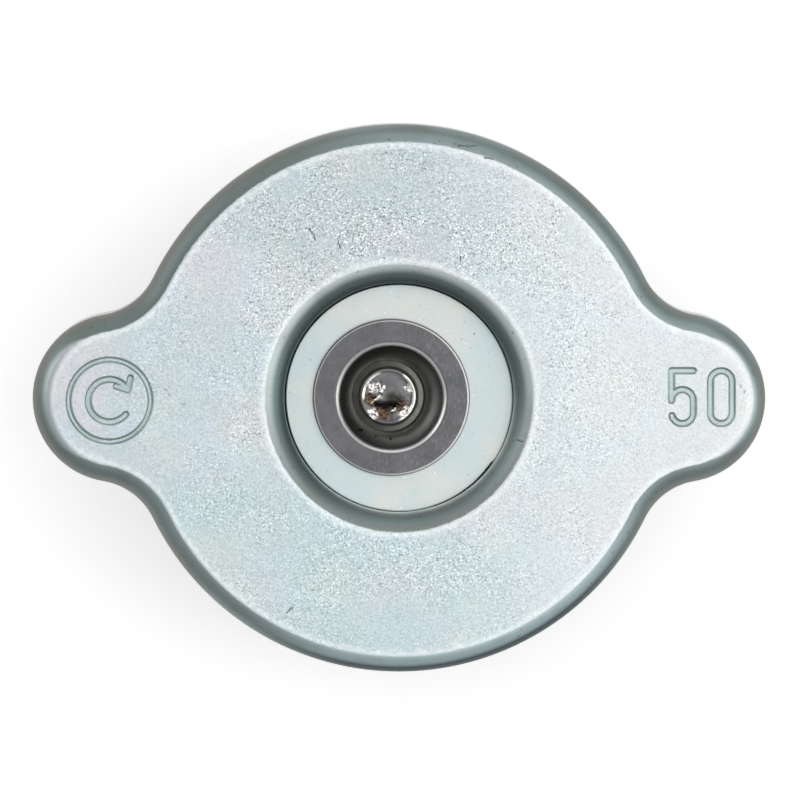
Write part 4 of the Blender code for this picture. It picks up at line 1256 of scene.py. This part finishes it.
def coil_tree():
    """A compression spring: a round wire along a helix whose first and last turns are closed."""
    sizes = ("Radius", "Wire", "Bottom", "Top", "Turns", "Closed Pitch", "Centre X")
    tree, inputs, output = new_tree("closed_end_coil", False, sizes)

    count = combine(tree, "MULTIPLY", inputs["Turns"], STEPS_TURN)
    line = add(tree, "GeometryNodeMeshLine", {"Count": combine(tree, "ADD", count, 1.0)})
    curve = add(tree, "GeometryNodeMeshToCurve", {0: line.outputs[0]})
    share = add(tree, "GeometryNodeSplineParameter").outputs["Factor"]
    turn = combine(tree, "MULTIPLY", share, inputs["Turns"])
    last = combine(tree, "SUBTRACT", inputs["Turns"], 1.0)
    in_first = combine(tree, "MINIMUM", turn, 1.0)
    in_last = combine(tree, "MAXIMUM", combine(tree, "SUBTRACT", turn, last), 0.0)
    closed_turns = combine(tree, "ADD", in_first, in_last)
    closed_rise = combine(tree, "MULTIPLY", inputs["Closed Pitch"], inputs["Wire"])
    wire_radius = combine(tree, "MULTIPLY", inputs["Wire"], 0.5)
    low = combine(tree, "ADD", inputs["Bottom"], wire_radius)
    high = combine(tree, "SUBTRACT", inputs["Top"], wire_radius)
    free = combine(tree, "SUBTRACT", high, low, combine(tree, "MULTIPLY", closed_rise, 2.0))
    open_rise = combine(tree, "DIVIDE", free, combine(tree, "SUBTRACT", inputs["Turns"], 2.0))
    open_turns = combine(tree, "SUBTRACT", turn, closed_turns)
    closed_height = combine(tree, "MULTIPLY", closed_rise, closed_turns)
    height = combine(tree, "ADD", low, closed_height, combine(tree, "MULTIPLY", open_rise, open_turns))
    angle = combine(tree, "MULTIPLY", turn, 2 * math.pi)
    around = [
        add(tree, "ShaderNodeMath", {0: angle}, operation=operation).outputs[0]
        for operation in ("COSINE", "SINE")
    ]
    x, y = [combine(tree, "MULTIPLY", part, inputs["Radius"]) for part in around]
    x = combine(tree, "ADD", x, inputs["Centre X"])
    place = add(tree, "ShaderNodeCombineXYZ", {0: x, 1: y, 2: height})
    helix = add(
        tree, "GeometryNodeSetPosition", {"Geometry": curve.outputs[0], "Position": place.outputs[0]}
    )
    section = add(
        tree,
        "GeometryNodeCurvePrimitiveCircle",
        {"Resolution": STEPS_WIRE, "Radius": wire_radius},
    )
    wire = add(
        tree,
        "GeometryNodeCurveToMesh",
        {"Curve": helix.outputs[0], "Profile Curve": section.outputs[0], "Fill Caps": True},
    )
    return close_tree(tree, wire.outputs[0], inputs, output)


def make_spring(tree, name, node, slot, body, material, radius, wire, bottom, top, turns):
    sizes = {
        "Radius": radius,
        "Wire": wire,
        "Bottom": bottom + REST_GAP,
        "Top": top - REST_GAP,
        "Turns": turns,
        "Closed Pitch": CLOSED_TURN_PITCH,
        "Centre X": VALVE_AXIS.x,
    }
    mesh = from_tree(tree, name, sizes, material)
    work = bmesh.new()
    work.from_mesh(mesh)
    return piece(name, to_mesh(work, name), material, slot, body, node)


def window_tree():
    """Cuts four bars with rounded corners through a bell's wall, at even steps round it."""
    sizes = ("Width", "Height", "Corner", "Level", "Start", "End", "First Angle", "Centre X")
    tree, inputs, output = new_tree("bell_windows", True, sizes)
    profile = add(
        tree,
        "GeometryNodeCurvePrimitiveQuadrilateral",
        {"Width": inputs["Height"], "Height": inputs["Width"]},
    )
    rounded = add(
        tree,
        "GeometryNodeFilletCurve",
        {0: profile.outputs[0], "Radius": inputs["Corner"], "Count": 8},
        mode="POLY",
    )
    start = add(tree, "ShaderNodeCombineXYZ", {0: inputs["Start"], 2: inputs["Level"]}).outputs[0]
    end = add(tree, "ShaderNodeCombineXYZ", {0: inputs["End"], 2: inputs["Level"]}).outputs[0]
    path = add(tree, "GeometryNodeCurvePrimitiveLine", {"Start": start, "End": end})
    bar = add(
        tree,
        "GeometryNodeCurveToMesh",
        {"Curve": path.outputs[0], "Profile Curve": rounded.outputs[0], "Fill Caps": True},
    )
    points = add(tree, "GeometryNodePoints", {"Count": 4})
    index = add(tree, "GeometryNodeInputIndex").outputs[0]
    angle = combine(tree, "ADD", combine(tree, "MULTIPLY", index, math.pi / 2), inputs["First Angle"])
    turn = add(tree, "ShaderNodeCombineXYZ", {2: angle}).outputs[0]
    rotation = add(tree, "FunctionNodeEulerToRotation", {0: turn}).outputs[0]
    bars = add(
        tree,
        "GeometryNodeInstanceOnPoints",
        {"Points": points.outputs[0], "Instance": bar.outputs[0], "Rotation": rotation},
    )
    shift = add(tree, "ShaderNodeCombineXYZ", {0: inputs["Centre X"]}).outputs[0]
    placed = add(tree, "GeometryNodeTransform", {"Geometry": bars.outputs[0], "Translation": shift})
    cutters = add(tree, "GeometryNodeRealizeInstances", {0: placed.outputs[0]})
    cut = add(
        tree,
        "GeometryNodeMeshBoolean",
        {"Mesh 1": inputs["Geometry"], "Mesh 2": cutters.outputs[0], "Self Intersection": True},
        operation="DIFFERENCE",
        solver="EXACT",
    )
    return close_tree(tree, cut.outputs[0], inputs, output)


def make_bell(material):
    """The bell: a deep pressing with four windows in its wall and four tabs turned in at its foot."""
    corners = [
        (RIVET_HOLE, BELL_TOP),
        (BELL_RADIUS, BELL_TOP, BELL_CORNER),
        (BELL_RADIUS, BELL_BOTTOM, BELL_SHEET),
        (TAB_RADIUS, BELL_BOTTOM),
    ]
    mesh = pressed("spring_bell", corners, BELL_SHEET)
    tree = window_tree()
    window_level = (BELL_BOTTOM + BELL_NOTCH_HEIGHT + BELL_TOP - BELL_CORNER) / 2
    notch_bottom, notch_top = BELL_BOTTOM - 2 * BELL_WINDOW_CORNER, BELL_BOTTOM + BELL_NOTCH_HEIGHT
    cuts = (
        (window_level, BELL_WINDOW_HEIGHT, 0.0),
        ((notch_bottom + notch_top) / 2, notch_top - notch_bottom, math.pi / 4),
    )
    for level, height, angle in cuts:
        sizes = {
            "Width": BELL_WINDOW_WIDTH,
            "Height": height,
            "Corner": BELL_WINDOW_CORNER,
            "Level": level,
            "Start": BELL_RADIUS / 2,
            "End": 1.5 * BELL_RADIUS,
            "First Angle": angle,
            "Centre X": VALVE_AXIS.x,
        }
        mesh = from_tree(tree, "spring_bell", sizes, material, mesh)
    work = bmesh.new()
    work.from_mesh(mesh)
    mesh = to_mesh(work, "spring_bell")
    return piece("spring_bell", mesh, material, "stainless", "valve_carrier", "bell_housing")


def make_spring_seat(material):
    """The pressed cup that carries the main spring."""
    wall = SEAT_RADIUS - SEAT_SHEET
    floor = SEAT_BOTTOM + SEAT_SHEET
    corners = [
        (HUB_BORE + VALVE_SHEET + REST_GAP, floor),
        (wall, floor, SEAT_BEND),
        (wall, SEAT_TOP, SEAT_BEND),
        (radius_of("spring_seat"), SEAT_TOP),
    ]
    mesh = pressed("spring_cup", corners, SEAT_SHEET)
    return piece("spring_cup", mesh, material, "stainless", "pressure_valve", "spring_seat")


def make_valve_plate(material):
    """The plate inside the gasket, with its drawn and flared hub."""
    corners = [
        (VALVE_RADIUS, PLATE_BOTTOM),
        (HUB_BORE, PLATE_BOTTOM, HUB_BEND),
        (HUB_BORE, HUB_TOP, HUB_BEND),
        (HUB_FLARE_RADIUS, HUB_TOP),
    ]
    mesh = pressed("hub_plate", corners, VALVE_SHEET)
    return piece("hub_plate", mesh, material, "stainless", "pressure_valve", "valve_plate")


def make_pressure_gasket(material):
    """The rubber seal wrapped round the plate, with its sealing land."""
    groove = VALVE_RADIUS + REST_GAP
    lip_inner = VALVE_RADIUS - GASKET_LIP_WIDTH
    land_outer, land_inner = LAND_RADIUS + LAND_WIDTH / 2, LAND_RADIUS - LAND_WIDTH / 2
    lip_bottom = LIP_TOP - GASKET_LIP_THICKNESS
    plate_bottom = PLATE_BOTTOM - REST_GAP
    small = GASKET_ROUNDING / 4
    corners = [
        (lip_inner, LIP_TOP),
        (GASKET_RADIUS, LIP_TOP, GASKET_ROUNDING),
        (GASKET_RADIUS, LAND_HEIGHT, small),
        (land_outer + LAND_FLARE, LAND_HEIGHT, small),
        (land_outer, LAND_BOTTOM, small),
        (land_inner, LAND_BOTTOM, small),
        (land_inner - LAND_FLARE, LAND_HEIGHT, small),
        (GASKET_PORT, LAND_HEIGHT, small),
        (GASKET_PORT, plate_bottom),
        (groove, plate_bottom),
        (groove, lip_bottom),
        (lip_inner, lip_bottom),
    ]
    mesh = turned("valve_gasket", corners)
    return piece("valve_gasket", mesh, material, "seal_rubber", "pressure_valve", "pressure_gasket")


def make_bored_disc(name, node, material, steps=STEPS_ROUND):
    """A small disc on the stem: the one that closes the gasket's port, or the clip on its end."""
    bottom, top = height_of(node)
    outer, edge = radius_of(node), (top - bottom) / 3
    corners = [(STEM_HOLE, top), (outer, top, edge), (outer, bottom, edge), (STEM_HOLE, bottom)]
    mesh = turned(name, corners, steps=steps)
    return piece(name, mesh, material, "valve_brass", "vacuum_valve", node)


def make_vacuum_stem(material):
    """The headed pin through the hub."""
    bottom, top = height_of("vacuum_stem")
    head, head_top = radius_of("vacuum_stem"), bottom + STEM_HEAD_HEIGHT
    corners = [
        (0.0, top),
        (STEM_RADIUS, top, STEM_RADIUS / 3),
        (STEM_RADIUS, head_top),
        (head, head_top),
        (head, bottom, STEM_HEAD_HEIGHT / 2),
        (0.0, bottom),
    ]
    mesh = turned("brass_stem", corners, steps=STEPS_ROUND // 2, touches_axis=True)
    return piece("brass_stem", mesh, material, "valve_brass", "vacuum_valve", "vacuum_stem")


def make_floor():
    """A plain white floor. Where it is looked at or mirrored, it adds to its own lit colour up to white.
    It is clear from below, so that the underside can be looked at."""
    bpy.ops.mesh.primitive_plane_add(size=FLOOR_SIZE, location=(0.0, 0.0, CAD_BOX[0].z))
    floor = bpy.context.active_object
    floor.name = "floor"
    material = bpy.data.materials.new("white_paper_floor")
    material.use_nodes = True
    tree = material.node_tree
    shader = tree.nodes["Principled BSDF"]
    shader.inputs["Base Color"].default_value = linear("F2F2F2")
    shader.inputs["Roughness"].default_value = 0.9
    path = add(tree, "ShaderNodeLightPath").outputs
    rays = [path[name] for name in ("Is Camera Ray", "Is Glossy Ray", "Is Transmission Ray")]
    lift = combine(tree, "MULTIPLY", combine(tree, "MAXIMUM", *rays), FLOOR_LIFT)
    shader.inputs["Emission Color"].default_value = (1.0, 1.0, 1.0, 1.0)
    tree.links.new(lift, shader.inputs["Emission Strength"])
    below = add(tree, "ShaderNodeNewGeometry").outputs["Backfacing"]
    clear = add(tree, "ShaderNodeBsdfTransparent").outputs[0]
    seen_through = add(tree, "ShaderNodeMixShader", {0: below, 1: shader.outputs[0], 2: clear})
    tree.links.new(seen_through.outputs[0], tree.nodes["Material Output"].inputs["Surface"])
    floor.data.materials.append(material)


def softbox(name, place, width, height, radiance):
    """A rectangular lamp that faces the cap and has the same brightness all over."""
    light = bpy.data.lights.new(name, "AREA")
    light.shape = "RECTANGLE"
    light.size = width
    light.size_y = height
    light.energy = radiance * math.pi * width * height
    obj = bpy.data.objects.new(name, light)
    obj.location = place
    obj.rotation_euler = (-Vector(place)).to_track_quat("-Z", "Y").to_euler()
    obj.visible_camera = False
    bpy.context.scene.collection.objects.link(obj)


def make_light():
    """Four soft lamps round the cap and an even grey studio."""
    for name, place, width, height, radiance in SOFTBOXES:
        softbox(name, place, width, height, radiance)
    world = bpy.data.worlds.new("grey_studio")
    bpy.context.scene.world = world
    world.use_nodes = True
    background = world.node_tree.nodes["Background"]
    background.inputs["Color"].default_value = (1.0, 1.0, 1.0, 1.0)
    background.inputs["Strength"].default_value = STUDIO_GREY


def make_camera():
    """Almost straight above, leaning a little to +Y, with the shell where the photograph has it."""
    camera = bpy.data.cameras.new("camera")
    camera.sensor_width = SENSOR
    camera.lens = SENSOR * (CAMERA_DISTANCE + EDGE_RADIUS) / (FRAME_PIXELS * PIXEL)
    camera.clip_start, camera.clip_end = 0.1, 20.0
    obj = bpy.data.objects.new("camera", camera)
    aim = Vector((AIM.x, AIM.y, SHELL_TOP))
    back = Vector((0.0, math.sin(CAMERA_TILT), math.cos(CAMERA_TILT)))
    obj.location = aim + back * CAMERA_DISTANCE
    obj.rotation_euler = (-CAMERA_TILT, 0.0, 0.0)
    bpy.context.scene.collection.objects.link(obj)
    bpy.context.scene.camera = obj


def main():
    bpy.context.scene.view_settings.view_transform = "Standard"
    make_camera()
    make_light()
    make_floor()

    stainless, brass, rubber = rolled_stainless(), turned_brass(), moulded_rubber()
    spring_wire = drawn_spring_wire()
    make_shell(tumbled_zinc())
    make_loose_washer(barrel_zinc())
    make_bush(phosphated_steel())
    make_rivet(worn_rivet_steel())
    make_friction_washer(spring_wire)
    make_diaphragm(stainless)
    make_upper_gasket(rubber)
    make_bell(stainless)
    make_spring_seat(stainless)
    make_valve_plate(stainless)
    make_pressure_gasket(rubber)
    make_bored_disc("brass_disc", "vacuum_disc", brass)
    make_vacuum_stem(brass)
    make_bored_disc("brass_clip", "stem_clip", brass, STEPS_ROUND // 2)

    coil = coil_tree()
    main_spring = make_spring(
        coil,
        "main_spring",
        "pressure_spring",
        "spring_steel",
        "valve_carrier",
        spring_wire,
        MAIN_SPRING_RADIUS,
        MAIN_WIRE,
        SEAT_TOP,
        BELL_CEILING,
        MAIN_TURNS,
    )
    clip_bottom = height_of("stem_clip")[0]
    light_spring = make_spring(
        coil,
        "light_spring",
        "vacuum_spring",
        "spring_steel",
        "pressure_valve",
        stainless,
        VACUUM_SPRING_RADIUS,
        VACUUM_WIRE,
        HUB_TOP,
        clip_bottom,
        VACUUM_TURNS,
    )
    squeezed = (
        (main_spring, "pressure_lift", SEAT_TOP, BELL_CEILING, BELL_CEILING),
        (light_spring, "vacuum_opening", HUB_TOP, clip_bottom, HUB_TOP),
    )
    for spring, joint, bottom, top, anchor in squeezed:
        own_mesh(spring)


main()
